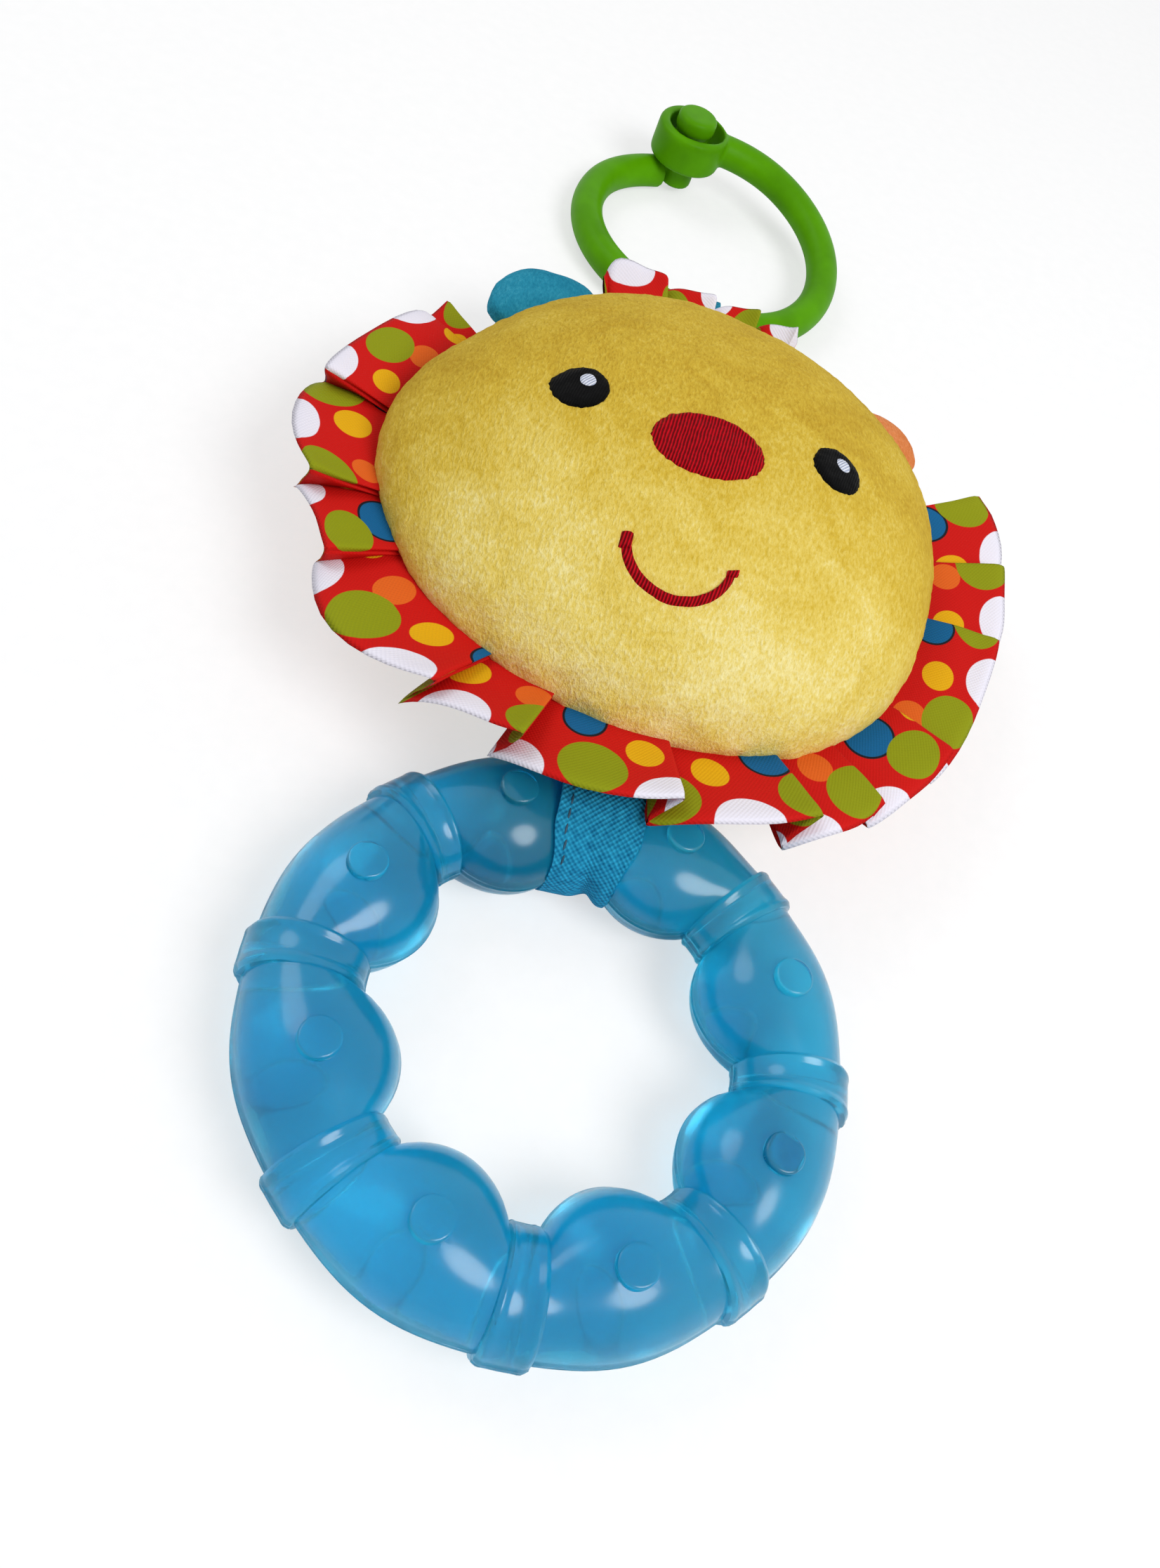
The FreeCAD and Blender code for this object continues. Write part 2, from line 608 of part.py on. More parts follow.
def teardrop(centre_y, centre_z, half_length, half_height, apex):
    """Face in the YZ plane: an ellipse with two tangents that meet at an apex."""
    apex_y, apex_z = apex
    across = (apex_y - centre_y) / half_length
    up = (apex_z - centre_z) / half_height
    facing = math.degrees(math.atan2(up, across))
    spread = math.degrees(math.acos(1 / math.hypot(across, up)))

    def rim(angle):
        turn = math.radians(angle)
        y = centre_y + half_length * math.cos(turn)
        return FreeCAD.Vector(0, y, centre_z + half_height * math.sin(turn))

    start = facing + spread
    end = facing - spread + FULL_TURN
    points = [rim(start + (end - start) * step / LOOP_SIDES) for step in range(LOOP_SIDES + 1)]
    return Part.Face(polygon(points + [FreeCAD.Vector(0, apex_y, apex_z)]))


def across_x(face, centre_x, half_width):
    """A YZ face extruded both ways from a centre line."""
    solid = face.extrude(FreeCAD.Vector(2 * half_width, 0, 0))
    return moved(solid, centre_x - half_width)


def space_between_lobes(y):
    """Half the width of the opening between the two lobes beside the strap."""
    centre = polar(LOBE_CENTRE_RADIUS, FULL_TURN / RING_SEGMENTS / 2)
    return centre.x - math.sqrt(LOBE_RADIUS ** 2 - (y - centre.y) ** 2)


def strap():
    """Woven strap looped round the ring's plain neck, its two ends sewn in at the chin."""
    near_y = lobe_form(LOBE_HALF_ANGLE)[0] - STRAP_HOLE_GAP
    centre_y = (STRAP_FAR_Y + near_y) / 2
    half_length = (STRAP_FAR_Y - near_y) / 2
    inner = teardrop(centre_y, 0, half_length, STRAP_INNER_HALF_HEIGHT, STRAP_INNER_APEX)
    outer = teardrop(centre_y, 0, half_length + STRAP_THICKNESS,
                     STRAP_INNER_HALF_HEIGHT + STRAP_THICKNESS, STRAP_OUTER_APEX)
    tab_start = STRAP_INNER_APEX[0] - STRAP_TAB_UNDER
    tab_end = CHIN_Y - STRAP_TAB_GAP
    under = SEAM_Z - STRAP_TAB_UNDER
    over = SEAM_Z + STRAP_TAB_OVER
    tab = Part.Face(polygon([FreeCAD.Vector(0, tab_start, under), FreeCAD.Vector(0, tab_end, under),
                             FreeCAD.Vector(0, tab_end, over), FreeCAD.Vector(0, tab_start, over)]))
    narrowest = space_between_lobes(near_y) - STRAP_SIDE_GAP
    widest = narrowest + STRAP_SEAM_SPREAD
    loop = across_x(outer, 0, widest).cut(across_x(inner, 0, widest + CUT_MARGIN))
    loop = loop.fuse(across_x(tab, 0, widest))
    half_plan = [(narrowest, near_y - STRAP_THICKNESS - CUT_MARGIN),
                 (narrowest, near_y + STRAP_LOW_REACH),
                 (narrowest + STRAP_TOP_SPREAD, near_y + STRAP_TOP_REACH),
                 (widest, CHIN_Y + CUT_MARGIN)]
    plan = half_plan + [(-x, y) for x, y in reversed(half_plan)]
    reach = STRAP_INNER_HALF_HEIGHT + STRAP_THICKNESS + CUT_MARGIN
    return loop.common(prism(plan, -reach, reach)).removeSplitter()


def hanging_loop():
    """Folded ribbon that holds the link, sewn into the seam at the top of the head."""
    apex = (LOOP_APEX_Y, LOOP_APEX_Z)
    outer_radius = LOOP_INNER_RADIUS + LOOP_THICKNESS
    outer = teardrop(LINK_NEAR_Y, LINK_NEAR_Z, outer_radius, outer_radius, apex)
    inner_apex = (LOOP_APEX_Y + LOOP_THICKNESS * 1.3, LOOP_APEX_Z - LOOP_THICKNESS * 0.8)
    inner = teardrop(LINK_NEAR_Y, LINK_NEAR_Z, LOOP_INNER_RADIUS, LOOP_INNER_RADIUS, inner_apex)
    bore = across_x(inner, LINK_X, LOOP_HALF_WIDTH + CUT_MARGIN)
    eye = across_x(outer, LINK_X, LOOP_HALF_WIDTH).cut(bore)
    seam_y = HEAD_Y + HEAD_HALF_LENGTH + LOOP_SEAM_GAP
    half = LOOP_THICKNESS
    tail_points = [FreeCAD.Vector(0, seam_y, SEAM_Z - half), FreeCAD.Vector(0, seam_y, SEAM_Z + half),
                   FreeCAD.Vector(0, LOOP_APEX_Y + half, LOOP_APEX_Z + half * 0.8),
                   FreeCAD.Vector(0, LOOP_APEX_Y + half / 3, LOOP_APEX_Z - half)]
    tail = across_x(Part.Face(polygon(tail_points)), LINK_X, LOOP_HALF_WIDTH)
    return eye.fuse(tail).removeSplitter()


# ---------------------------------------------------------------- snap link


def link_height(angle):
    """Height of the eye arm's centre line, rising smoothly towards the clasp."""
    away = min(1, (angle - CLASP_ANGLE) / LINK_RISE_ANGLE)
    share = 1 - away
    return LINK_RISE * share * share * (3 - 2 * share)


def link_radius(angle):
    """Distance from the link's centre, drawn in a little where the ends cross."""
    near = max(0, 1 - abs(angle - CLASP_ANGLE) / CLASP_DRAW_ANGLE)
    return LINK_RADIUS + (CLASP_RADIUS - LINK_RADIUS) * near * near * (3 - 2 * near)


def link_arm(start, end, height_at):
    """Round bar from one angle to another, in short conical lengths."""
    count = round(abs(end - start) / LINK_STEP)
    outlines = []
    for index in range(count + 1):
        angle = start + (end - start) * index / count
        corners = []
        for side in range(LINK_SIDES):
            turn = 2 * math.pi * side / LINK_SIDES
            radius = link_radius(angle) + LINK_BAR_RADIUS * math.cos(turn)
            corners.append(polar(radius, angle, height_at(angle) + LINK_BAR_RADIUS * math.sin(turn)))
        outlines.append(corners)
    return stacked(outlines)


def placed_link(shape):
    """Tilt a link half to lie on the table and move it to the hanging loop."""
    laid = moved(shape, 0, LINK_RADIUS, 0)
    laid = turned(laid, LINK_TILT, FreeCAD.Vector(1, 0, 0))
    return moved(laid, LINK_X, LINK_NEAR_Y, LINK_NEAR_Z)


def link_pieces():
    """Eye half and peg half, split at the bar's near end where the link flexes."""
    clasp = polar(CLASP_RADIUS, CLASP_ANGLE)
    eye_bottom = LINK_RISE - LINK_BAR_RADIUS - EYE_DROP
    eye_top = eye_bottom + EYE_HEIGHT
    knob_top = eye_top + PEG_PROUD
    foot_top = eye_bottom - SNAP_CLEARANCE

    near_end = FULL_TURN / 2
    cut_bottom = -LINK_BAR_RADIUS - CUT_MARGIN
    cut_top = eye_top + CUT_MARGIN

    eye_arm = link_arm(near_end, CLASP_ANGLE + CLASP_ARM_GAP, link_height)
    eye_cup = disc(EYE_RADIUS, eye_bottom, eye_top, clasp.x, clasp.y)
    eye_cup = eye_cup.makeChamfer(EYE_CHAMFER, [eye_cup.Edges[0], eye_cup.Edges[2]])
    slot_end = polar(CLASP_RADIUS, CLASP_ANGLE + math.degrees(EYE_SLOT / CLASP_RADIUS))
    hole = disc(EYE_HOLE_RADIUS, cut_bottom, cut_top, clasp.x, clasp.y)
    slot = disc(EYE_HOLE_RADIUS - EYE_SLOT_STEP, cut_bottom, cut_top, slot_end.x, slot_end.y)
    eye_half = eye_arm.fuse(eye_cup).cut([hole, slot])

    peg_arm = link_arm(-near_end, CLASP_ANGLE - CLASP_ARM_GAP, lambda angle: 0.0)
    foot = disc(PEG_FOOT_RADIUS, -LINK_BAR_RADIUS, foot_top, clasp.x, clasp.y)
    stud_post = disc(PEG_STUD_RADIUS, foot_top - PEG_OVERLAP, knob_top - PEG_OVERLAP, clasp.x, clasp.y)
    knob = disc(PEG_KNOB_RADIUS, knob_top - PEG_KNOB_HEIGHT, knob_top, clasp.x, clasp.y)
    knob = knob.makeChamfer(PEG_KNOB_CHAMFER, [knob.Edges[0], knob.Edges[2]])
    peg_half = peg_arm.fuse([foot, stud_post, knob])

    above = disc(EYE_RADIUS + CUT_MARGIN, foot_top, knob_top + CUT_MARGIN, clasp.x, clasp.y)
    inside = joined([stud_post, knob])
    peg_half = peg_half.cut(above).fuse(inside)
    return {"link_eye_half": placed_link(eye_half), "link_peg_half": placed_link(peg_half)}


# ---------------------------------------------------------------- assembly and export


def assembly():
    """Every piece in the modelling frame, by name."""
    pieces = {}
    pieces.update(head_pieces())
    pieces["left_ear"] = ear(LEFT_EAR_ANGLE)
    pieces["right_ear"] = ear(RIGHT_EAR_ANGLE)
    pieces["mane_ruffle"] = mane()
    pieces["crown_ruffle"] = crown_ruffle()
    pieces["chin_strap"] = strap()
    pieces["hanging_loop"] = hanging_loop()
    pieces.update(ring_pieces())
    pieces.update(link_pieces())
    return pieces


def export(pieces):
    """Put the origin at the footprint's middle on the table, and write one file per piece."""
    box = FreeCAD.BoundBox()
    for shape in pieces.values():
        box.add(shape.optimalBoundingBox())
    print("shift", -box.Center.x, -box.Center.y, -box.ZMin)
    os.makedirs("parts", exist_ok=True)
    for name, shape in pieces.items():
        placed = moved(shape, -box.Center.x, -box.Center.y, -box.ZMin)
        solids = len(placed.Solids)
        print(name, "valid", placed.isValid(), "solids", solids, "volume", round(placed.Volume, 1))
        placed.exportStep("parts/" + name + ".step")


export(assembly())
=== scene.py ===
# %% [markdown]
# A soft baby toy: a stuffed animal head with a gathered mane, a water-filled ring on a strap and a
# snap link. The imported CAD model is loaded first, as a fixed frame that gives every place and size.
# Each part is then dressed with a finished piece. Most ride on the CAD body they belong to; the
# cloth of the mane, crown, strap and hanging loop stays where it is built.

# %% Load the imported model
import math
import random

import bpy
from mathutils import Matrix, Vector
from mathutils import noise


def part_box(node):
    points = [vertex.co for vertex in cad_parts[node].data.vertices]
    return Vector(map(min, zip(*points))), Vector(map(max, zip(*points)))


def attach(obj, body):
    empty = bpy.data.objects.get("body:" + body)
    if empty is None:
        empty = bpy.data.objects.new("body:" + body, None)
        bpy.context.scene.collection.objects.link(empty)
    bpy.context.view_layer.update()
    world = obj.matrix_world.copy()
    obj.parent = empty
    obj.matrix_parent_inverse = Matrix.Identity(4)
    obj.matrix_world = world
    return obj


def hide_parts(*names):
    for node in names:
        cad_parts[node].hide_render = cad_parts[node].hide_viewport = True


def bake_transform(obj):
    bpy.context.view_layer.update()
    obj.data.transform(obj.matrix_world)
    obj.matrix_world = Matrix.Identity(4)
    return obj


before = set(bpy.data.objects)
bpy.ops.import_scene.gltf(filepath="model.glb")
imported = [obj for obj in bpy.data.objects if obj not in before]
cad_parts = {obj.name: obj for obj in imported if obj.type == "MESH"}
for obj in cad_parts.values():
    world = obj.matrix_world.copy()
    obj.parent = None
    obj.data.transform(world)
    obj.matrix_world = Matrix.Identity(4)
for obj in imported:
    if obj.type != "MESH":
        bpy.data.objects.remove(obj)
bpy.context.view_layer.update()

# %% [markdown]
# Blender works in metres, and a toy this size is easier to think of in millimetres. One factor turns
# millimetres into metres, and the sizes of the neighbouring pieces are read from the frame.

# %% Measure the frame
MM = 0.001
random.seed(7)
ring_low, ring_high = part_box("ring_front_shell")
RING_RADIUS = (ring_high.x - ring_low.x) / 2
RING_CENTRE = Vector(((ring_low.x + ring_high.x) / 2, ring_low.y + RING_RADIUS, ring_low.z))
face_low, face_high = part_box("face_panel")
back_low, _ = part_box("head_back_panel")
SEAM = Vector(((face_low.x + face_high.x) / 2, (face_low.y + face_high.y) / 2, face_low.z))
HEAD_A = (face_high.x - face_low.x) / 2
HEAD_B = (face_high.y - face_low.y) / 2
FACE_RISE = face_high.z - SEAM.z
print("ring radius", round(RING_RADIUS / MM, 2), "head", round(HEAD_A / MM, 1), round(HEAD_B / MM, 1))

# %% [markdown]
# bpy.ops act on whatever is selected, and the CAD nodes come in selected, so a small helper clears
# the selection. Others name a new piece and settle it at the origin, where a finished piece stays.


# %% Selecting and naming
def deselect():
    """Leave edit mode and select nothing."""
    if bpy.context.object and bpy.context.object.mode != "OBJECT":
        bpy.ops.object.mode_set(mode="OBJECT")
    bpy.ops.object.select_all(action="DESELECT")


def pick(*objects):
    deselect()
    for obj in objects:
        obj.select_set(True)
    bpy.context.view_layer.objects.active = objects[0]


def settle(obj):
    """Apply place, turn and scale, so that the object sits at the origin."""
    pick(obj)
    bpy.ops.object.transform_apply(location=True, rotation=True, scale=True)
    return obj


def named(name):
    obj = bpy.context.object
    obj.name = name
    obj.data.name = name
    return settle(obj)


# %% [markdown]
# A modifier is added with its settings and later applied, so that what is left is plain mesh. These
# few helpers subdivide, smooth, join and cut in that way, and turn a piece's faces outwards.


# %% Modifiers, joining and cutting
def add_modifier(obj, kind, **settings):
    modifier = obj.modifiers.new(kind.lower(), kind)
    for key, value in settings.items():
        setattr(modifier, key, value)
    return modifier


def apply_modifiers(obj):
    pick(obj)
    for modifier in list(obj.modifiers):
        bpy.ops.object.modifier_apply(modifier=modifier.name)


def subdivided(obj, levels=1):
    add_modifier(obj, "SUBSURF", levels=levels, render_levels=levels)
    apply_modifiers(obj)


def smooth(obj, angle=None):
    pick(obj)
    if angle is None:
        bpy.ops.object.shade_smooth()
    else:
        bpy.ops.object.shade_smooth_by_angle(angle=math.radians(angle))


def join(target, *others):
    pick(target, *others)
    bpy.ops.object.join()
    return target


def outward(obj):
    """Merge doubles and turn all faces outwards."""
    pick(obj)
    bpy.ops.object.mode_set(mode="EDIT")
    bpy.ops.mesh.select_all(action="SELECT")
    bpy.ops.mesh.remove_doubles(threshold=0.01 * MM)
    bpy.ops.mesh.normals_make_consistent(inside=False)
    bpy.ops.object.mode_set(mode="OBJECT")


def boolean(target, other, operation):
    """Cut or join with another solid, and remove that solid."""
    add_modifier(target, "BOOLEAN", operation=operation, object=other, solver="EXACT")
    apply_modifiers(target)
    bpy.data.objects.remove(other)


# %% [markdown]
# Every form here starts as a primitive. It is shaped by moving its vertices with a rule, and in edit
# mode by choosing edges for a bevel or a cut. Rules often need a soft step from one value to another.


# %% Shaping by a rule
def edit_edges(obj, chosen):
    """Go into edit mode with the edges selected whose two ends the rule accepts."""
    pick(obj)
    bpy.context.tool_settings.mesh_select_mode = (False, True, False)
    bpy.ops.object.mode_set(mode="EDIT")
    bpy.ops.mesh.select_all(action="DESELECT")
    bpy.ops.object.mode_set(mode="OBJECT")
    for edge in obj.data.edges:
        edge.select = chosen(*(obj.data.vertices[index].co for index in edge.vertices))
    bpy.ops.object.mode_set(mode="EDIT")


def leave_edit():
    bpy.ops.object.mode_set(mode="OBJECT")
    bpy.context.tool_settings.mesh_select_mode = (True, False, False)


def reshape(obj, rule):
    """Move every vertex to where a rule puts it."""
    for vertex in obj.data.vertices:
        vertex.co = rule(vertex.co)
    obj.data.update()


def cloth_map(obj, flat):
    """Give the piece its UV map; flat holds each vertex's place on the flat cloth in millimetres."""
    layers = obj.data.uv_layers
    layer = layers[0] if layers else layers.new(name="cloth")
    layer.name = "cloth"
    for loop in obj.data.loops:
        layer.data[loop.index].uv = flat[loop.vertex_index]


def smoothstep(low, high, value):
    """0 below one value and 1 beyond the other, with an even S between."""
    share = min(1.0, max(0.0, (value - low) / (high - low)))
    return share * share * (3 - 2 * share)


print("a quarter of the way, the S has risen to", smoothstep(0, 1, 0.25))

# %% [markdown]
# Materials are built from nodes. One helper adds a node with its settings and links, and one turns
# the hex colour that a designer writes into the linear values that Blender shades with.


# %% Material helpers
def linear(hex_colour):
    """'#rrggbb' as linear RGBA."""
    values = []
    for start in (1, 3, 5):
        channel = int(hex_colour[start:start + 2], 16) / 255
        below = channel / 12.92
        above = ((channel + 0.055) / 1.055) ** 2.4
        values.append(below if channel <= 0.04045 else above)
    return (*values, 1.0)


def node(tree, kind, inputs=None, **settings):
    """Add a node; inputs are values or output sockets, by input name or number."""
    made = tree.nodes.new(kind)
    for key, value in settings.items():
        setattr(made, key, value)
    for key, value in (inputs or {}).items():
        socket = made.inputs[key]
        if isinstance(value, bpy.types.NodeSocket):
            tree.links.new(value, socket)
        else:
            socket.default_value = value
    return made


def material(name, **values):
    """A new material with only its surface shader, set to even values, as (material, tree, shader).
    A value's name is the shader's own with underscores, such as Coat_Weight."""
    made = bpy.data.materials.new(name)
    made.use_nodes = True
    shader = made.node_tree.nodes["Principled BSDF"]
    for key, value in values.items():
        shader.inputs[key.replace("_", " ")].default_value = value
    return made, made.node_tree, shader


def coat_with(obj, made):
    obj.data.materials.clear()
    obj.data.materials.append(made)


def colour_steps(tree, factor, stops):
    """A colour ramp through (position, hex) stops."""
    ramp = node(tree, "ShaderNodeValToRGB", {"Fac": factor})
    elements = ramp.color_ramp.elements
    elements[0].position, elements[0].color = stops[0][0], linear(stops[0][1])
    elements[1].position, elements[1].color = stops[-1][0], linear(stops[-1][1])
    for position, hex_colour in stops[1:-1]:
        element = elements.new(position)
        element.color = linear(hex_colour)
    return ramp.outputs["Color"]


def mottled(name, spot, detail, low, high, **values):
    """A material whose colour drifts between two hex values, in soft spots of one size."""
    made, tree, shader = material(name, **values)
    place = node(tree, "ShaderNodeTexCoord").outputs["Object"]
    spots = node(tree, "ShaderNodeTexNoise", {"Vector": place, "Scale": 1 / spot, "Detail": detail})
    colour = colour_steps(tree, spots.outputs["Fac"], [(0.3, low), (0.7, high)])
    tree.links.new(colour, shader.inputs["Base Color"])
    return made, tree, shader


print("hex #808080 is linear", [round(value, 3) for value in linear("#808080")[:3]])

# %% [markdown]
# The plush is short polyester pile. It has no clear gloss: light catches the fibre ends, so it looks
# paler at grazing angles (sheen), and the pile lies this way and that, which gives soft darker and
# lighter patches a centimetre across. Fine noise at the width of a tuft breaks up the surface. The
# colour is also painted paler towards the chin and darker over the top: painted light and shade.


# %% Plush materials
PILE_PATCH = 16 * MM          # how wide an area lies one way
PILE_TUFT = 0.7 * MM          # width of a tuft of pile
PILE_COMBED = math.radians(25)
PAINTED_LIGHT_Y, PAINTED_SHADE_Y = -44 * MM, 8 * MM     # along the toy: painted light is fullest here, and painted shade from here on


def plush(name, dark, middle, light, tips):
    """Pile from its dark roots to its pale tips, as four hex colours."""
    made, tree, shader = material(name, Roughness=0.95, Specular_IOR_Level=0.05, Sheen_Weight=0.3,
                                  Sheen_Roughness=0.4, Sheen_Tint=linear(light))
    place = node(tree, "ShaderNodeTexCoord").outputs["Object"]
    patch = node(tree, "ShaderNodeTexNoise", {"Vector": place, "Scale": 1 / PILE_PATCH, "Detail": 4.0,
                                              "Roughness": 0.62, "Distortion": 0.8})
    combed = node(tree, "ShaderNodeMapping", {"Vector": place, "Scale": (1.5, 0.65, 1.0),
                                              "Rotation": (0, 0, PILE_COMBED)})
    tuft = node(tree, "ShaderNodeTexNoise", {"Vector": combed.outputs["Vector"],
                                             "Scale": 1 / PILE_TUFT, "Detail": 3.0, "Roughness": 0.7})
    both = node(tree, "ShaderNodeMix", {"Factor": 0.55, "A": patch.outputs["Fac"],
                                        "B": tuft.outputs["Fac"]}, data_type="FLOAT")
    # Painted light and shade: the pile colour is pushed paler towards the chin and darker over the top
    # of the toy.
    parts = node(tree, "ShaderNodeSeparateXYZ", {"Vector": place})
    painted_light_and_shade = node(tree, "ShaderNodeMapRange", {"Value": parts.outputs["Y"], "From Min": PAINTED_LIGHT_Y,
                                                "From Max": PAINTED_SHADE_Y, "To Min": 0.17, "To Max": -0.07},
                   interpolation_type="SMOOTHSTEP")
    pile = node(tree, "ShaderNodeMath", {0: both.outputs[0], 1: painted_light_and_shade.outputs["Result"]},
                operation="ADD")
    colour = colour_steps(tree, pile.outputs[0],
                          [(0.30, dark), (0.47, middle), (0.62, light), (0.80, tips)])
    tree.links.new(colour, shader.inputs["Base Color"])
    bump = node(tree, "ShaderNodeBump", {"Height": tuft.outputs["Fac"], "Strength": 0.7,
                                         "Distance": 0.6 * MM})
    tree.links.new(bump.outputs["Normal"], shader.inputs["Normal"])
    return made


yellow_plush = plush("yellow_polyester_plush", "#b8932a", "#cfb03e", "#dfc765", "#eee2a2")
turquoise_plush = plush("turquoise_polyester_plush", "#1c7896", "#2a8ba8", "#449fb8", "#6fbccd")
orange_plush = plush("orange_polyester_plush", "#cc7038", "#dc854e", "#e89c6a", "#f0b48c")
print("plush:", yellow_plush.name, turquoise_plush.name, orange_plush.name)

# %% [markdown]
# The satin stitching of the eyes, nose and mouth is rayon thread laid side by side, so it shines
# along one direction. A wave pattern at the thread spacing gives the ridges, and it also paints the
# thread colour: painted highlights along the ridges and painted shade between them.


# %% Embroidery materials
def satin_stitch(name, dark, light, turn, spacing=0.42):
    """Thread spacing is a little coarser than the real 0.3 mm so that it shows."""
    made, tree, shader = material(name, Roughness=0.55, Specular_IOR_Level=0.06)
    place = node(tree, "ShaderNodeTexCoord").outputs["Object"]
    turned = node(tree, "ShaderNodeMapping", {"Vector": place, "Rotation": (0, 0, math.radians(turn))})
    wave = node(tree, "ShaderNodeTexWave", {"Vector": turned.outputs["Vector"],
                                            "Scale": 0.314 / (spacing * MM),
                                            "Distortion": 2.2, "Detail": 2.0, "Detail Scale": 0.6})
    loose = node(tree, "ShaderNodeTexNoise", {"Vector": place, "Scale": 1 / (0.9 * MM), "Detail": 2.0})
    mixed = node(tree, "ShaderNodeMix", {"Factor": 0.45, "A": wave.outputs["Fac"],
                                         "B": loose.outputs["Fac"]}, data_type="FLOAT")
    # Painted highlights on the thread ridges and painted shade between them, from the same wave.
    colour = colour_steps(tree, mixed.outputs[0], [(0.25, dark), (0.8, light)])
    tree.links.new(colour, shader.inputs["Base Color"])
    bump = node(tree, "ShaderNodeBump", {"Height": mixed.outputs[0], "Strength": 0.9,
                                         "Distance": 0.35 * MM})
    tree.links.new(bump.outputs["Normal"], shader.inputs["Normal"])
    return made


black_thread = satin_stitch("black_rayon_thread", "#010101", "#030304", 12)
red_thread = satin_stitch("red_rayon_thread", "#5e0006", "#c60a1c", 6, 0.5)
white_thread = satin_stitch("white_rayon_thread", "#aab4cc", "#eef1fa", 40)
print("threads:", black_thread.name, red_thread.name, white_thread.name)

# %% [markdown]
# The link is injection-moulded polypropylene, green right through. It has a satin skin from a lightly
# blasted mould, with very faint flow marks.

# %% Link plastic
link_plastic, tree, shader = mottled("green_moulded_polypropylene", 9 * MM, 3.0, "#498800", "#569c00",
                                     Roughness=0.42, Specular_IOR_Level=0.07)
place = node(tree, "ShaderNodeTexCoord").outputs["Object"]
grain = node(tree, "ShaderNodeTexNoise", {"Vector": place, "Scale": 1 / (0.35 * MM), "Detail": 2.0})
skin = node(tree, "ShaderNodeBump", {"Height": grain.outputs["Fac"], "Strength": 0.12,
                                     "Distance": 0.05 * MM})
tree.links.new(skin.outputs["Normal"], shader.inputs["Normal"])
print("link plastic:", link_plastic.name)

# %% [markdown]
# The ring is two shells of soft translucent turquoise EVA, welded together and filled with water.
# Part of the light passes right through and part is scattered in the milky wall, so the shader mixes
# transmission with subsurface scattering, under a smooth wet-looking skin.

# %% Ring plastic
ring_plastic, tree, shader = mottled(
    "translucent_turquoise_eva", 22 * MM, 2.0, "#12a8ce", "#34c5e8", Roughness=0.2, IOR=1.36,
    Transmission_Weight=0.82, Subsurface_Weight=0.4, Subsurface_Radius=(0.5, 1.2, 1.6),
    Subsurface_Scale=4 * MM, Coat_Weight=0.15, Coat_Roughness=0.12)
plug_plastic, tree, shader = mottled(
    "frosted_turquoise_eva_plug", 1.5 * MM, 2.0, "#3cb0d6", "#52c2e4", Roughness=0.3, IOR=1.36,
    Transmission_Weight=0.8)
print("ring plastics:", ring_plastic.name, plug_plastic.name)

# %% [markdown]
# The mane is plain-woven cotton, printed red with rows of dots. The cloth keeps a UV map in real
# millimetres, along and across the strip, so the print follows every fold as it does on cloth.


# %% Weave and rows of dots
def woven(tree, uv, spacing):
    """Height of a plain weave with this thread spacing in millimetres, on a UV map in millimetres."""
    parts = node(tree, "ShaderNodeSeparateXYZ", {"Vector": uv})
    waves = []
    for axis in ("X", "Y"):
        turn = node(tree, "ShaderNodeMath", {0: parts.outputs[axis], 1: 2 * math.pi / spacing},
                    operation="MULTIPLY")
        waves.append(node(tree, "ShaderNodeMath", {0: turn.outputs[0]}, operation="SINE").outputs[0])
    return node(tree, "ShaderNodeMath", {0: waves[0], 1: waves[1]}, operation="MULTIPLY").outputs[0]


def dot_row(tree, uv, across, spacing, shift, radius, wobble):
    """1 inside the dots of one row across the strip, with dots of slightly uneven size."""
    parts = node(tree, "ShaderNodeSeparateXYZ", {"Vector": uv})
    step = node(tree, "ShaderNodeMath", {0: parts.outputs["X"], 1: 1 / spacing, 2: shift},
                operation="MULTIPLY_ADD")
    cell = node(tree, "ShaderNodeMath", {0: step.outputs[0]}, operation="FLOOR")
    inside = node(tree, "ShaderNodeMath", {0: step.outputs[0], 1: cell.outputs[0]},
                  operation="SUBTRACT")
    along = node(tree, "ShaderNodeMath", {0: inside.outputs[0], 1: 0.5}, operation="SUBTRACT")
    along = node(tree, "ShaderNodeMath", {0: along.outputs[0], 1: spacing}, operation="MULTIPLY")
    luck = node(tree, "ShaderNodeTexWhiteNoise", {"W": cell.outputs[0]}, noise_dimensions="1D")
    place = node(tree, "ShaderNodeMath", {0: luck.outputs["Value"], 1: wobble, 2: across - wobble / 2},
                 operation="MULTIPLY_ADD")
    off = node(tree, "ShaderNodeMath", {0: parts.outputs["Y"], 1: place.outputs[0]},
               operation="SUBTRACT")
    flat = node(tree, "ShaderNodeCombineXYZ", {"X": along.outputs[0], "Y": off.outputs[0]})
    far = node(tree, "ShaderNodeVectorMath", {0: flat.outputs["Vector"]}, operation="LENGTH")
    size = node(tree, "ShaderNodeMath", {0: luck.outputs["Value"], 1: wobble * 0.45,
                                         2: radius - wobble * 0.2}, operation="MULTIPLY_ADD")
    return node(tree, "ShaderNodeMath", {0: size.outputs[0], 1: far.outputs["Value"]},
                operation="SUBTRACT").outputs[0]


def printed(tree, ground, depth, hex_colour, inset=0.0):
    """Lay a dot's colour over the ground, with an edge a tenth of a millimetre soft."""
    mask = node(tree, "ShaderNodeMapRange", {"Value": depth, "From Min": inset,
                                             "From Max": inset + 0.12})
    laid = node(tree, "ShaderNodeMix", {"Factor": mask.outputs["Result"], "A": ground,
                                        "B": linear(hex_colour)}, data_type="RGBA")
    return laid.outputs[2]


STRIP_WIDTH = 17.0            # the folded strip, from its gathered edge to its folded edge
print("folded strip", STRIP_WIDTH, "mm wide")

# %% [markdown]
# The print has five rows of dots, a little uneven in size and place. The white ones lie on the folded
# edge itself, which halves them. The rows are laid one over the other, as in printing.

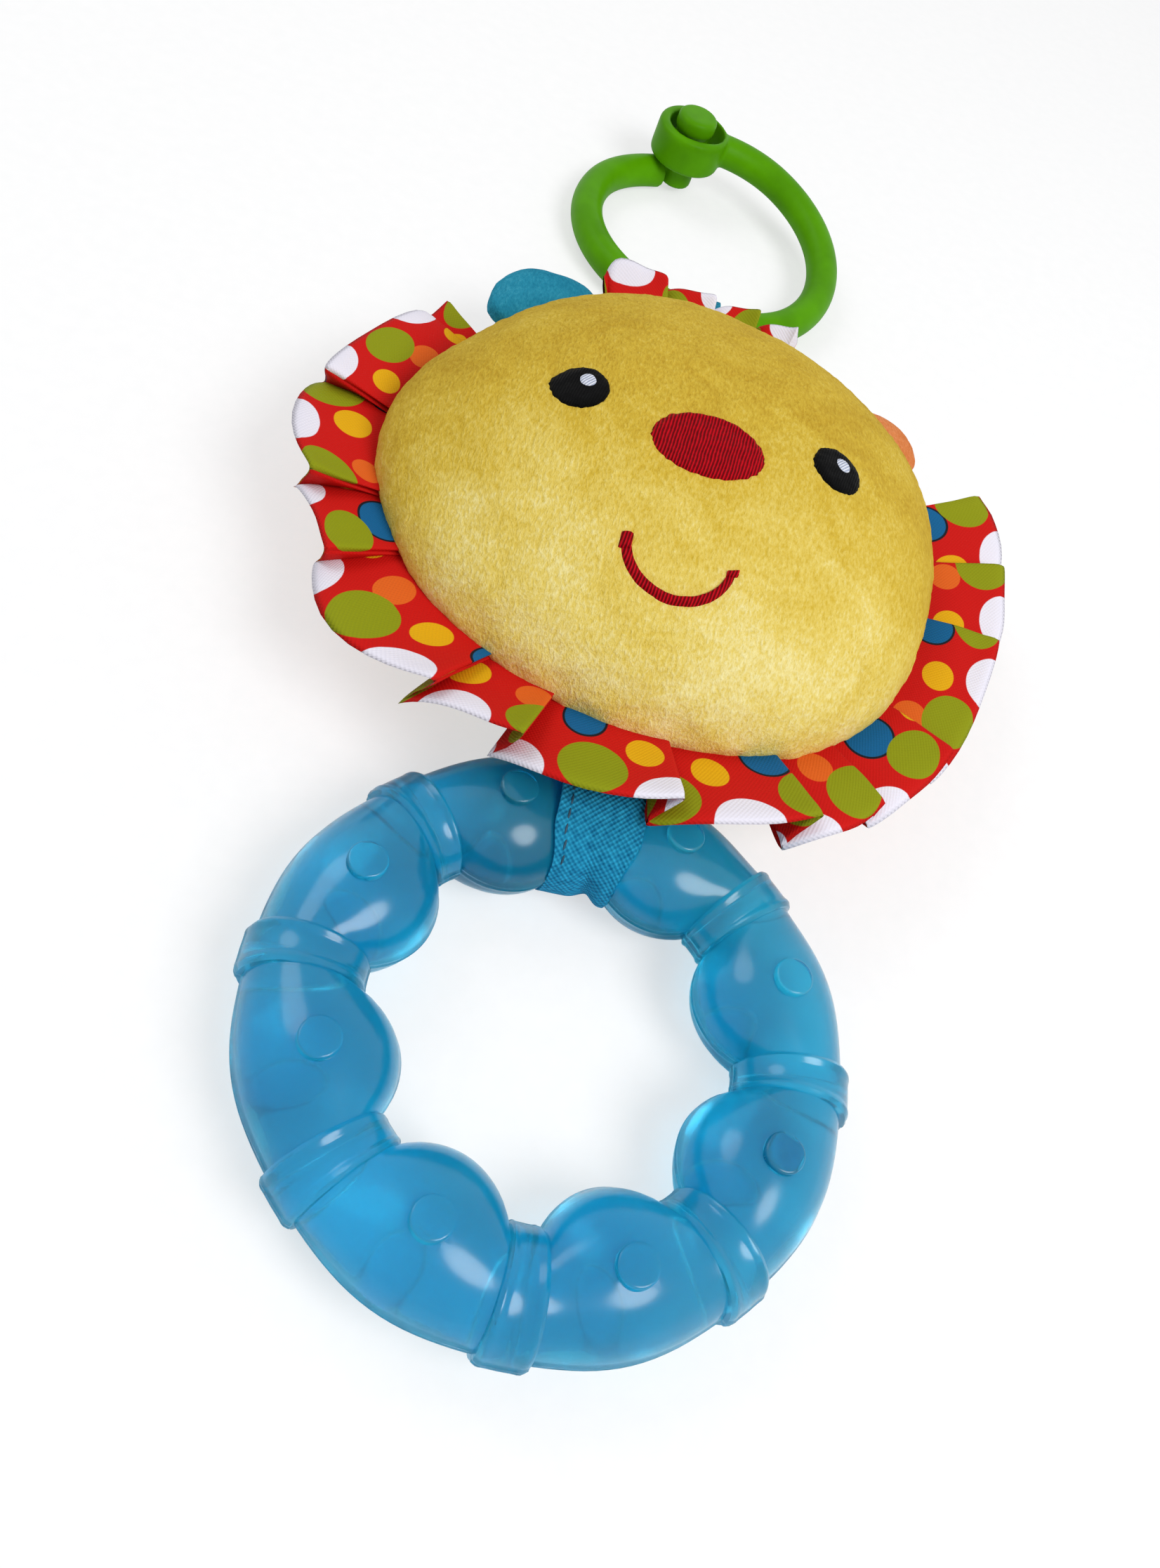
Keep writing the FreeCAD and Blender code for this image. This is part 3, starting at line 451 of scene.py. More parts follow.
# %% Printed cotton
printed_cotton, tree, shader = material("dotted_red_cotton", Roughness=0.75, Specular_IOR_Level=0.15)
uv = node(tree, "ShaderNodeUVMap").outputs["UV"]
ground = node(tree, "ShaderNodeRGB").outputs[0]
ground.default_value = linear("#c2100b")
# Rows of dots, in millimetres: place across the strip, spacing, shift as a share of the spacing,
# radius, colour and outline.
rows = (
    (2.9, 44.0, 0.625, 4.6, "#0f5c8e", "#10131c"),
    (6.4, 22.0, 0.25, 3.1, "#dba40c", None),
    (5.0, 44.0, 0.125, 3.0, "#d8601c", None),
    (12.0, 22.0, 0.60, 5.0, "#878e0e", None),
    (STRIP_WIDTH, 22.0, 0.10, 5.0, "#e3e0ec", None),
)
for across, spacing, shift, radius, hex_colour, outline in rows:
    depth = dot_row(tree, uv, across, spacing, shift, radius, 1.4)
    if outline:
        ground = printed(tree, ground, depth, outline)
        ground = printed(tree, ground, depth, hex_colour, 0.45)
    else:
        ground = printed(tree, ground, depth, hex_colour)
tree.links.new(ground, shader.inputs["Base Color"])
weave = woven(tree, uv, 0.7)   # coarser than the real threads, so that it shows
bump = node(tree, "ShaderNodeBump", {"Height": weave, "Strength": 0.35, "Distance": 0.08 * MM})
tree.links.new(bump.outputs["Normal"], shader.inputs["Normal"])
print("printed cotton:", len(rows), "rows of dots")

# %% [markdown]
# The strap and the ribbon are a coarser cotton, dyed one colour. The same weave height paints shade
# into the gaps between the threads and light onto the threads, over a slow unevenness of the dye.
# The threads are drawn coarser than the real ones, so that they show.


# %% Strap cotton
def strap_cloth(name, dark, light):
    """A one-coloured weave, with painted shade in the gaps and painted light on the threads."""
    made, tree, shader = material(name, Roughness=0.8, Specular_IOR_Level=0.12)
    uv = node(tree, "ShaderNodeUVMap").outputs["UV"]
    weave = woven(tree, uv, 0.85)
    uneven = node(tree, "ShaderNodeTexNoise", {"Vector": uv, "Scale": 0.9, "Detail": 3.0})
    # Painted shade in the weave's gaps and painted light on its threads, over the dye's unevenness.
    both = node(tree, "ShaderNodeMath", {0: weave, 1: 0.22, 2: uneven.outputs["Fac"]},
                operation="MULTIPLY_ADD")
    tree.links.new(colour_steps(tree, both.outputs[0], [(0.15, dark), (0.9, light)]),
                   shader.inputs["Base Color"])
    bump = node(tree, "ShaderNodeBump", {"Height": weave, "Strength": 0.8, "Distance": 0.16 * MM})
    tree.links.new(bump.outputs["Normal"], shader.inputs["Normal"])
    return made


strap_cotton = strap_cloth("turquoise_woven_cotton", "#06608a", "#2ea9d2")
ribbon_cotton = strap_cloth("turquoise_cotton_ribbon", "#176f8c", "#2b93b0")
seam_thread, tree, shader = mottled("dark_blue_polyester_thread", 0.5 * MM, 2.0, "#0d3346", "#1a4e66",
                                    Roughness=0.6)
print("strap:", strap_cotton.name, ribbon_cotton.name, seam_thread.name)

# %% [markdown]
# The camera looks down on the toy from below its ring, a little from the left, with a lens slightly
# wider than normal. A camera looks along its own -Z, so its turn is built from the direction of view
# and the direction that points up in the picture.


# %% Camera
def look(place, forward, up):
    """The matrix of a camera or lamp at a place, turned to look forward."""
    back = -Vector(forward).normalized()
    right = Vector(up).cross(back).normalized()
    upright = back.cross(right)
    turn = Matrix((right, upright, back)).transposed().to_4x4()
    return Matrix.Translation(Vector(place)) @ turn


bpy.ops.object.camera_add()
camera = bpy.context.object
camera.name = "camera"
camera.data.lens = 29.9        # millimetres of focal length, on a sensor 36 mm long
camera.data.sensor_width = 36
camera.data.sensor_fit = "AUTO"
camera.data.clip_start = 5 * MM
camera.matrix_world = look((-38.9 * MM, -162.0 * MM, 168.3 * MM), (0.167, 0.564, -0.809),
                           (-0.277, 0.814, 0.511))
bpy.context.scene.camera = camera
print("camera", round(camera.location.z / MM), "mm above the table")

# %% [markdown]
# The toy lies on a plain white sweep. Camera rays see a flat white, and so do mirror and glass rays,
# while the light on the floor itself still carries the toy's soft shadow.

# %% Floor, world and lamps
deselect()
FLOOR_SIZE = 12                # metres, so that its edge lies far behind the toy
bpy.ops.mesh.primitive_plane_add(size=FLOOR_SIZE, location=(0, 0, 0))
floor = named("studio_floor")
paper, tree, shader = mottled("matt_white_paper", 3 * MM, 2.0, "#f6f7f8", "#fbfbfc",
                              Roughness=0.9, Specular_IOR_Level=0.1)
seen = node(tree, "ShaderNodeLightPath").outputs["Is Camera Ray"]
share = node(tree, "ShaderNodeMath", {0: seen, 1: 0.6}, operation="MULTIPLY").outputs[0]
plain_white = node(tree, "ShaderNodeEmission", {"Color": linear("#ffffff"), "Strength": 1.0})
mixed = node(tree, "ShaderNodeMixShader", {0: share, 1: shader.outputs["BSDF"],
                                           2: plain_white.outputs["Emission"]})
tree.links.new(mixed.outputs["Shader"], tree.nodes["Material Output"].inputs["Surface"])
coat_with(floor, paper)

world = bpy.data.worlds.new("studio")
bpy.context.scene.world = world
world.use_nodes = True
background = world.node_tree.nodes["Background"]
rays = node(world.node_tree, "ShaderNodeLightPath")
seen = node(world.node_tree, "ShaderNodeMath", {0: rays.outputs["Is Camera Ray"],
                                                1: rays.outputs["Is Glossy Ray"]}, operation="MAXIMUM")
seen = node(world.node_tree, "ShaderNodeMath", {0: seen.outputs[0],
                                                1: rays.outputs["Is Transmission Ray"]},
            operation="MAXIMUM")
AMBIENT = 0.5                  # how bright the room is, beside the white that the camera sees
level = node(world.node_tree, "ShaderNodeMix", {"Factor": seen.outputs[0], "A": AMBIENT, "B": 1.0},
             data_type="FLOAT")
world.node_tree.links.new(level.outputs[0], background.inputs["Strength"])
background.inputs["Color"].default_value = linear("#ffffff")


def softbox(name, place, power, size=0.45):
    """A round white softbox over the table, turned towards the toy; size in metres, power in watts."""
    bpy.ops.object.light_add(type="AREA")
    lamp = bpy.context.object
    lamp.name = name
    lamp.data.shape = "DISK"
    lamp.data.size = size
    lamp.data.energy = power
    lamp.matrix_world = look(place, -Vector(place), (0, 1, 0.01))


softbox("key_softbox", (0.38, -0.38, 0.68), power=4.7)
softbox("fill_softbox", (-0.5, 0.3, 0.65), power=1.5)
bpy.context.scene.view_settings.view_transform = "Standard"

# %% [markdown]
# The ring has eight bulging segments between seven raised bands, and one plain neck for the strap.
# A torus primitive is a good start, because its grid of rings and ribs is already the right way
# round. Each vertex keeps its place round the torus and is moved to the ring's own section there:
# half an ellipse over the parting plane and half below it, as wide and tall as the segment is at
# that angle. Where two segments meet, a crisp step is left at each side of the band.

# %% Ring sizes
SEGMENTS = 8
STEP = 2 * math.pi / SEGMENTS
LOBE_CIRCLE = RING_RADIUS - 10.9 * MM     # the segments' centres lie on this circle
LOBE = 10.3 * MM              # a segment's inner side follows a circle of this radius
FLANK = math.radians(18.2)    # where its flank runs into the neck
NECK_STEP, CROWN_SWELL = 1.3 * MM, 0.7 * MM   # necks lie inside the bands, crowns swell out again
NECK_HEIGHT, CROWN_RISE = 7.2, 1.8        # half heights in millimetres
BAND = math.radians(4.6)      # half width of a band
BAND_DEPTH = 16.6 * MM        # how far in a band reaches
BAND_HEIGHT = 7.5 * MM
RIDGE = 0.5 * MM              # rib along each side of a band


def segment_form(angle):
    """Inner radius, outer radius and half height of a segment, by the angle from its crown."""
    turn = min(abs(angle), FLANK)
    chord = LOBE ** 2 - (LOBE_CIRCLE * math.sin(turn)) ** 2
    inner = LOBE_CIRCLE * math.cos(turn) - math.sqrt(max(0.0, chord))
    share = (1 + math.cos(SEGMENTS * turn)) / 2
    outer = RING_RADIUS - NECK_STEP + CROWN_SWELL * share
    return inner, outer, (NECK_HEIGHT + CROWN_RISE * share) * MM


def band_form(angle):
    """The same for a raised band: nearly flat, with a thin ridge along each side."""
    share = abs(angle) / BAND
    ridge = RIDGE * math.exp(-((share - 0.78) / 0.19) ** 2)
    side = 0.35 * MM * share ** 4 - 0.4 * ridge
    return RING_RADIUS - BAND_DEPTH + side, RING_RADIUS - 0.15 * MM - side, BAND_HEIGHT + ridge


def ring_form(angle):
    """The form at any angle, clockwise from the plain neck under the strap."""
    position = (angle / STEP) % SEGMENTS
    neck = round(position)
    from_neck = (position - neck) * STEP
    if neck % SEGMENTS and abs(from_neck) < BAND:
        return band_form(from_neck)
    return segment_form(STEP / 2 - abs(from_neck))


print("half height of a crown, a neck and a band in mm:",
      [round(form[2] / MM, 1) for form in (segment_form(0), segment_form(FLANK), band_form(0))])

# %% [markdown]
# The torus has many more ribs than it seems to need. They are not spaced evenly: each is slid
# towards the sides of the bands, so that the steps there stay crisp after smoothing.

# %% Ring body
RIBS = 32                     # ribs in each eighth of the ring, as many as a torus may have
SECTION = 56                  # points round each section
BEAD = 0.26 * MM              # height of the weld's two thin beads, beside the parting plane


def rib_angle(index):
    """Angle of a rib: close together over the ridges of a band, the rest spread evenly."""
    eighth, place = divmod(index, RIBS)
    share = place / RIBS
    # Ribs as a share of the eighth, and where that share lies, in half widths of a band.
    marks = ((0, 0.0), (1 / 32, 0.45), (5 / 32, 0.93), (6 / 32, 0.995), (7 / 32, 1.04),
             (8 / 32, 1.3), (0.5, STEP / 2 / BAND))
    mirrored = min(share, 1 - share)
    for (low, start), (high, end) in zip(marks, marks[1:]):
        if low <= mirrored <= high:
            from_neck = (start + (end - start) * (mirrored - low) / (high - low)) * BAND
    return eighth * STEP + (from_neck if share <= 0.5 else STEP - from_neck)


def on_ring(angle, turn):
    """Point on the ring's skin: clockwise angle from the strap, and turn round its section.
    Points crowd towards the parting plane, where the weld leaves two thin beads."""
    inner, outer, height = ring_form(angle)
    middle, half = (inner + outer) / 2, (outer - inner) / 2
    turn -= 0.40 * math.sin(2 * turn)
    level = height * math.sin(turn)
    bead = BEAD * math.exp(-((abs(level) - 0.55 * MM) / (0.28 * MM)) ** 2)
    radius = middle + (half + bead) * math.cos(turn)
    return RING_CENTRE + Vector((radius * math.sin(angle), radius * math.cos(angle), level))


deselect()
bpy.ops.mesh.primitive_torus_add(major_segments=RIBS * SEGMENTS, minor_segments=SECTION,
                                 major_radius=1.0, minor_radius=0.25)
ring_body = named("ring_body")


def to_ring(place):
    """From the torus primitive to the ring: the rib gives the angle, the section the turn."""
    around = math.atan2(place.y, place.x) % (2 * math.pi)
    across = math.hypot(place.x, place.y) - 1.0
    turn = math.atan2(place.z, across)
    index = round(around / (2 * math.pi) * RIBS * SEGMENTS) % (RIBS * SEGMENTS)
    return on_ring(rib_angle(index), turn)


reshape(ring_body, to_ring)
outward(ring_body)
print("ring body", len(ring_body.data.polygons), "faces")

# %% [markdown]
# Each segment carries a low round stud on both sides, moulded with its shell. A stud is a short
# cylinder with both rims bevelled round, set half into the ring at the middle of its segment.

# %% Studs
STUD_CIRCLE = LOBE_CIRCLE + 0.9 * MM
STUD_RADIUS, STUD_DEPTH = 2.75 * MM, 2.4 * MM
FRONT_STUD, REAR_STUD = 8.7 * MM, -8.16 * MM  # the rear ones are lower, as the ring lies on them


def stud(angle, level):
    """One low cylinder with rounded rims, at an angle round the ring."""
    deselect()
    x, y = STUD_CIRCLE * math.sin(angle), STUD_CIRCLE * math.cos(angle)
    bpy.ops.mesh.primitive_cylinder_add(vertices=48, radius=STUD_RADIUS, depth=STUD_DEPTH,
                                        location=RING_CENTRE + Vector((x, y, level)))
    made = named("stud")
    edit_edges(made, lambda a, b: abs(a.z - b.z) < 0.1 * MM)
    bpy.ops.mesh.bevel(offset=0.4 * MM, segments=4, profile=0.5, affect="EDGES")
    leave_edit()
    return made


studs = [stud((index + 0.5) * STEP, level)
         for index in range(SEGMENTS) for level in (FRONT_STUD, REAR_STUD)]
print(len(studs), "studs")
studs = join(studs[0], *studs[1:])
studs.name = "ring_studs"

# %% [markdown]
# Studs and body are one moulding, so they are joined with a union, and shading by angle keeps the
# small step round each stud. The piece stands for both welded shells and the water between them.

# %% Finish the ring
boolean(ring_body, studs, "UNION")
coat_with(ring_body, ring_plastic)
smooth(ring_body, 32)
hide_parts("ring_front_shell", "ring_back_shell", "ring_water")
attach(ring_body, "ring")
print("ring body with its studs", len(ring_body.data.polygons), "faces")

# %% [markdown]
# One segment was filled with water through a hole, and a square plug with round corners closes it.
# A cube is enough: it is flattened to the plug's width, turned to face the ring's middle, and its
# upright edges and then its top edges are bevelled.

# %% Filling plug
PLUG_WIDTH, PLUG_DEPTH = 4.6 * MM, 0.9 * MM
plug_low, plug_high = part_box("fill_plug")
deselect()
bpy.ops.mesh.primitive_cube_add(size=1.0)
ring_plug = named("ring_plug")
plug_middle = (plug_low + plug_high) / 2
plug_angle = math.atan2(plug_middle.x - RING_CENTRE.x, plug_middle.y - RING_CENTRE.y)
plug_turn = Matrix.Rotation(-plug_angle, 4, "Z")


def to_plug(place):
    """From the unit cube to the plug, turned to face the ring's middle."""
    flat = plug_turn @ Vector((place.x * PLUG_WIDTH, place.y * PLUG_WIDTH, 0))
    level = plug_high.z if place.z > 0 else plug_high.z - PLUG_DEPTH
    return Vector((plug_middle.x + flat.x, plug_middle.y + flat.y, level))


reshape(ring_plug, to_plug)
edit_edges(ring_plug, lambda a, b: abs(a.z - b.z) > 0.4 * MM)
bpy.ops.mesh.bevel(offset=1.2 * MM, segments=5, affect="EDGES")
leave_edit()
edit_edges(ring_plug, lambda a, b: min(a.z, b.z) > plug_high.z - 0.1 * MM)
bpy.ops.mesh.bevel(offset=0.35 * MM, segments=3, affect="EDGES")
leave_edit()
smooth(ring_plug)
coat_with(ring_plug, plug_plastic)
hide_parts("fill_plug")
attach(ring_plug, "ring")
print("plug", len(ring_plug.data.polygons), "faces")

# %% [markdown]
# The head is a plush cushion of two panels sewn together round the edge and stuffed firm. A sphere
# is reshaped to the panels' dome and flat back. Then its skin is remeshed evenly and blown up with
# cloth pressure while the seam is held, so the sides swell and the seam puckers as a sewn one does.


# %% Stuffing by cloth pressure
SIM_FRAMES, SIM_QUALITY = 20, 6           # enough for the cover to come to rest


def stuffed(obj, voxel, pressure, cap, held, growth=0.0):
    """Remesh, inflate and settle a padded piece; held(place) says which points the seam keeps."""
    add_modifier(obj, "REMESH", mode="VOXEL", voxel_size=voxel)
    apply_modifiers(obj)
    start = [vertex.co.copy() for vertex in obj.data.vertices]
    group = obj.vertex_groups.new(name="seam")
    group.add([vertex.index for vertex in obj.data.vertices if held(vertex.co)], 1.0, "REPLACE")
    cloth = add_modifier(obj, "CLOTH")
    cloth.settings.use_pressure = True
    cloth.settings.uniform_pressure_force = pressure
    cloth.settings.effector_weights.gravity = 0.0
    cloth.settings.vertex_group_mass = "seam"
    cloth.settings.shrink_min = -growth
    cloth.settings.quality = SIM_QUALITY
    scene = bpy.context.scene
    for frame_number in range(1, SIM_FRAMES + 1):
        scene.frame_set(frame_number)
    pick(obj)
    bpy.ops.object.modifier_apply(modifier=cloth.name)
    scene.frame_set(1)
    for vertex, before in zip(obj.data.vertices, start):
        shift = vertex.co - before
        if shift.length > cap:
            vertex.co = before + shift.normalized() * cap
    obj.vertex_groups.clear()


# %% Head cover
FACE_TOP = 0.975              # the face starts a little inside its finished size and swells to it
BACK_CUT = math.sin(math.radians(68))     # the back is a dome up to this height, then flat
# Where the stuffing pushes the head's edge out or leaves it in: how many millimetres, at which
# angle clockwise from the top, and over how wide a spread in degrees.
EVEN_SWELL = 1.2
SWELLS = ((1.6, 155, 24), (0.8, 240, 32), (-4.1, 94, 26), (-4.0, 302, 20))


def bulge(angle, at, spread):
    """1 at one angle, falling off evenly to both sides, in degrees."""
    off = (angle - at + 180) % 360 - 180
    return math.exp(-(off / spread) ** 2)


def fullness(angle):
    """How far the head's edge stands beyond a plain oval, by clockwise angle."""
    swell = EVEN_SWELL
    for far, at, spread in SWELLS:
        swell += far * bulge(angle, at, spread)
    return swell * MM


def clockwise(x, y):
    """Angle in degrees, clockwise from the top of the head."""
    return math.degrees(math.atan2(x, y))


deselect()
bpy.ops.mesh.primitive_uv_sphere_add(segments=96, ring_count=64, radius=1.0)
head_cover = named("head_cover")


def to_head(place):
    """Unit sphere to the cushion: an even dome above the seam, a shallow flat back below."""
    around = math.hypot(place.x, place.y)
    if place.z >= 0:
        level = SEAM.z + place.z * FACE_RISE * FACE_TOP
    else:
        level = SEAM.z - (SEAM.z - back_low.z) * min(1.0, -place.z / BACK_CUT)
    wide = 0.99 * around ** 0.97              # the dome is a little fuller than a sphere's
    share = wide / around if around > 1e-6 else 0
    full = fullness(clockwise(place.x, place.y)) * around ** 3
    if place.z < 0:
        full *= 0.2                           # the back stays nearly oval
    elif place.z < 0.5:
        full += 0.9 * MM * math.sin(2 * math.pi * place.z)    # a roll just above the seam
    return Vector((SEAM.x + place.x * (share * HEAD_A + full),
                   SEAM.y + place.y * (share * HEAD_B + full), level))


reshape(head_cover, to_head)
stuffed(head_cover, voxel=3 * MM, pressure=4.0, cap=1.8 * MM, growth=0.015,
        held=lambda place: abs(place.z - SEAM.z) < 1.2 * MM)
subdivided(head_cover, 2)
outward(head_cover)
print("head cover", len(head_cover.data.polygons), "faces")


# %% [markdown]
# Soft dents finish the cushion: the seam is pulled in by its thread, a short dart runs at the lower
# right, and a firm stuffing leaves shallow hollows a few centimetres across.

# %% Seam, dart and hollows
DART_START, DART_END = Vector((30.1, -28.1)) * MM, Vector((32.5, -33.5)) * MM
SEAM_DIP, DART_DIP = 0.9 * MM, 0.7 * MM
HOLLOWS = ((0.45, 17), (0.16, 5), (0.16, 1.3))    # depth and size of the unevenness, in millimetres


def dart_distance(x, y):
    """How far a point is from the dart's seam, seen from above."""
    dart = DART_END - DART_START
    point = Vector((x, y)) - DART_START
    along = min(1.0, max(0.0, point.dot(dart) / dart.length_squared))
    return (point - along * dart).length


def dented(vertex):
    """Where a vertex of the cover goes, once seam, dart and hollows pull it in."""
    place, normal = vertex.co, vertex.normal
    dip = SEAM_DIP * math.exp(-((place.z - SEAM.z) / (1.3 * MM)) ** 2)
    if place.z > SEAM.z:
        off = dart_distance(place.x - SEAM.x, place.y - SEAM.y)
        dip += DART_DIP * math.exp(-(off / (0.9 * MM)) ** 2)
    for depth, size in HOLLOWS:
        dip += depth * MM * noise.noise(place / (size * MM))
    return place - normal * dip


moved_to = [dented(vertex) for vertex in head_cover.data.vertices]
for vertex, place in zip(head_cover.data.vertices, moved_to):
    vertex.co = place
    vertex.co.z = max(vertex.co.z, back_low.z)
smooth(head_cover)
coat_with(head_cover, yellow_plush)
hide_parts("face_panel", "head_back_panel", "head_stuffing")
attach(head_cover, "head")
print("head cover", round(max(vertex.co.z for vertex in head_cover.data.vertices) / MM, 1), "mm high")

# %% [markdown]
# Eyes, nose and mouth are satin stitched. Each patch starts as a flat grid bent to its outline,
# is pressed down onto the plush with a Shrinkwrap, rounded over, and given a thickness that sinks
# into the pile.


# %% Stitched patches
PATCH_THICKNESS = 0.7 * MM    # most of it sinks into the pile


def pressed_patch(name, columns, rows, outline, lift, coat, cad_node):
    """outline(u, v) gives plan place from the head's middle for u, v in -1..1; lift(u, v) a height."""
    deselect()
    bpy.ops.mesh.primitive_grid_add(x_subdivisions=columns, y_subdivisions=rows, size=2.0)
    patch = named(name)
    spots = [(vertex.co.x, vertex.co.y) for vertex in patch.data.vertices]
    for vertex, (u, v) in zip(patch.data.vertices, spots):
        x, y = outline(u, v)
        vertex.co = Vector((SEAM.x + x, SEAM.y + y, SEAM.z + 2 * FACE_RISE))
    add_modifier(patch, "SHRINKWRAP", target=head_cover, wrap_method="PROJECT", use_project_z=True,
                 use_negative_direction=True, use_positive_direction=False)
    apply_modifiers(patch)
    for vertex, (u, v) in zip(patch.data.vertices, spots):
        vertex.co.z += lift(u, v)
    outward(patch)
    if sum(polygon.normal.z for polygon in patch.data.polygons) < 0:
        patch.data.flip_normals()
    add_modifier(patch, "SOLIDIFY", thickness=PATCH_THICKNESS, offset=-1.0)
    apply_modifiers(patch)
    smooth(patch, 60)
    coat_with(patch, coat)
    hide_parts(cad_node)
    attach(patch, "head")
    return patch


def disc_of(u, v):
    """Square to round."""
    return u * math.sqrt(1 - v * v / 2), v * math.sqrt(1 - u * u / 2)


def oval_outline(x, y, half_width, half_height, tilt, point=0.0):
    """Oval in millimetres, turned anticlockwise; point draws its left end out to a tip."""
    turn = math.radians(tilt)

    def outline(u, v):
        a, b = disc_of(u, v)
        rough = noise.noise(Vector((a * 9, b * 9, half_width)))
        ragged = 1 + 0.045 * (a * a + b * b) ** 2 * rough
        a, b = a * ragged, b * ragged
        tip = point * max(0.0, -a - 0.7) * (1 - abs(b))
        a, b = (a - tip) * half_width, b * half_height
        return ((x + (a * math.cos(turn) - b * math.sin(turn))) * MM,
                (y + (a * math.sin(turn) + b * math.cos(turn))) * MM)
    return outline


def domed(height, border=0.0):
    """Lift of a patch: rounded off at its rim, with an optional raised border."""
    def lift(u, v):
        far = math.hypot(*disc_of(u, v))
        rim = math.sqrt(max(0.0, 1 - far ** 6))
        return (height * rim + border * math.exp(-((far - 0.86) / 0.07) ** 2) - 0.12) * MM
    return lift


# %% [markdown]
# Each eye is an oval with its left end drawn to a tip, and a smaller white oval lies on it as its
# glint. The nose is a wide oval with a raised border, where the stitches turn.

# %% Eyes and nose
FACE_LINE, EYE_SPREAD = -1.5, 21.0        # the face's centre line, and each eye's distance from it
for side, name, point in ((-1, "left", 0.5), (1, "right", 0.3)):
    x = FACE_LINE + side * EYE_SPREAD
    eye = oval_outline(x, -3.0, half_width=4.3, half_height=4.4, tilt=12 * side, point=point)
    pressed_patch(name + "_eye", 33, 33, eye, domed(0.85), black_thread,
                  name + "_eye_embroidery")
    glint = oval_outline(x + 0.7, -2.0, half_width=1.45, half_height=1.6, tilt=20)
    pressed_patch(name + "_glint", 17, 17, glint, domed(1.05), white_thread,
                  name + "_eye_glint")
nose = oval_outline(-2.1, -9.0, half_width=9.0, half_height=6.0, tilt=4)
pressed_patch("nose_patch", 65, 41, nose, domed(0.8, border=0.25), red_thread,
              "nose_embroidery")
print("eyes", 2 * EYE_SPREAD, "mm apart")

# %% [markdown]
# The smile is one narrow line of stitches. Its left end starts with a short upright stub and its
# right end has a small cross stroke, so the smile is three patches with the same round section.


# %% Mouth
MOUTH_RADIUS, MOUTH_X, MOUTH_Y = 8.1, -2.9, -27.3    # the smile's circle, in millimetres
MOUTH_FLATNESS = 0.86


def mouth_outline(u, v):
    """A smile, a little thinner at its right end."""
    turn = math.radians(-90 + 80 * u)
    radius = MOUTH_RADIUS + v * (0.8 - 0.15 * max(0.0, u) ** 2)
    x = MOUTH_X + radius * math.cos(turn)
    y = MOUTH_Y + radius * math.sin(turn) * MOUTH_FLATNESS
    return x * MM, y * MM


def stub_outline(u, v):
    """The thick upright start at the smile's left end."""
    return (-11.1 + 0.95 * v) * MM, (-27.9 - 1.2 * u) * MM


def serif_outline(u, v):
    """The short cross stroke at its right end."""
    return (5.2 + 0.9 * u) * MM, (-28.3 + 0.5 * v + 0.3 * u) * MM


def cord_lift(u, v):
    """Round across the line, and rounded off at both of its ends."""
    return (0.75 * math.sqrt(max(0.0, 1 - v * v)) * min(1.0, 8 * (1.03 - abs(u))) - 0.1) * MM


for name, columns, outline in (("mouth_line", 97, mouth_outline), ("mouth_stub", 17, stub_outline),
                               ("mouth_serif", 17, serif_outline)):
    piece = pressed_patch(name, columns, 9, outline, cord_lift, red_thread,
                          "mouth_embroidery")
    print(name, len(piece.data.polygons), "faces")

# %% [markdown]
# The ears are small stuffed petals, sewn into the seam. Each starts as a sphere, is flattened and
# narrowed towards its root in the CAD ear's place, and is blown up like the head.


# %% Ears
EAR_HALF_LENGTH, EAR_HALF_THICKNESS = 10.5 * MM, 3.5 * MM


def ear(name, cad_node, half_width, shorter, aside_by, coat):
    """A stuffed ear along its CAD ear: how wide, how much shorter, and how far it is set aside."""
    low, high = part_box(cad_node)
    middle = (low + high) / 2
    out = Vector((middle.x - SEAM.x, middle.y - SEAM.y, 0)).normalized()
    aside = Vector((out.y, -out.x, 0))
    reach = max((Vector((x, y, 0)) - Vector((SEAM.x, SEAM.y, 0))).dot(out)
                for x in (low.x, high.x) for y in (low.y, high.y)) - shorter
    deselect()
    bpy.ops.mesh.primitive_uv_sphere_add(segments=48, ring_count=32, radius=1.0)
    made = named(name)

    def to_ear(place):
        along = place.y
        narrow = 1.0 - 0.16 * (1 - along) ** 2 / 2
        far = reach - EAR_HALF_LENGTH + along * EAR_HALF_LENGTH
        spot = SEAM + out * far + aside * (aside_by + place.x * half_width * narrow)
        return Vector((spot.x, spot.y, middle.z + place.z * EAR_HALF_THICKNESS))

    reshape(made, to_ear)
    stuffed(made, voxel=1.3 * MM, pressure=3.0, cap=0.8 * MM, growth=0.02,
            held=lambda place: abs(place.z - middle.z) < 0.6 * MM)
    subdivided(made, 1)
    outward(made)
    for vertex in made.data.vertices:
        from_seam = (vertex.co.z - middle.z) / (0.7 * MM)
        vertex.co -= vertex.normal * (0.45 * MM * math.exp(-from_seam ** 2)
                                      + 0.35 * MM * noise.noise(vertex.co / (6 * MM)))
    add_modifier(made, "SMOOTH", factor=0.5, iterations=6)
    apply_modifiers(made)
    smooth(made)
    coat_with(made, coat)
    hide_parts(cad_node)
    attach(made, "head")
    print(name, len(made.data.polygons), "faces")


ear("left_ear_pad", "left_ear", half_width=12.4 * MM, shorter=5.2 * MM, aside_by=2.6 * MM,
    coat=turquoise_plush)
ear("right_ear_pad", "right_ear", half_width=10.6 * MM, shorter=6.6 * MM, aside_by=0,
    coat=orange_plush)

# %% [markdown]
# The mane is one long strip of cotton, folded double, pleated into the head's seam with the fold
# outside. A pleat is an S in the cloth: a broad bulging panel runs over the start of the next one
# and turns back under itself. A grid primitive is bent so: its columns follow the S round the head,
# and its rows run from the seam out to the fold and back underneath. At the seam the pleats are
# pressed flat and deep, and towards the fold they open, because the outer edge is longer.

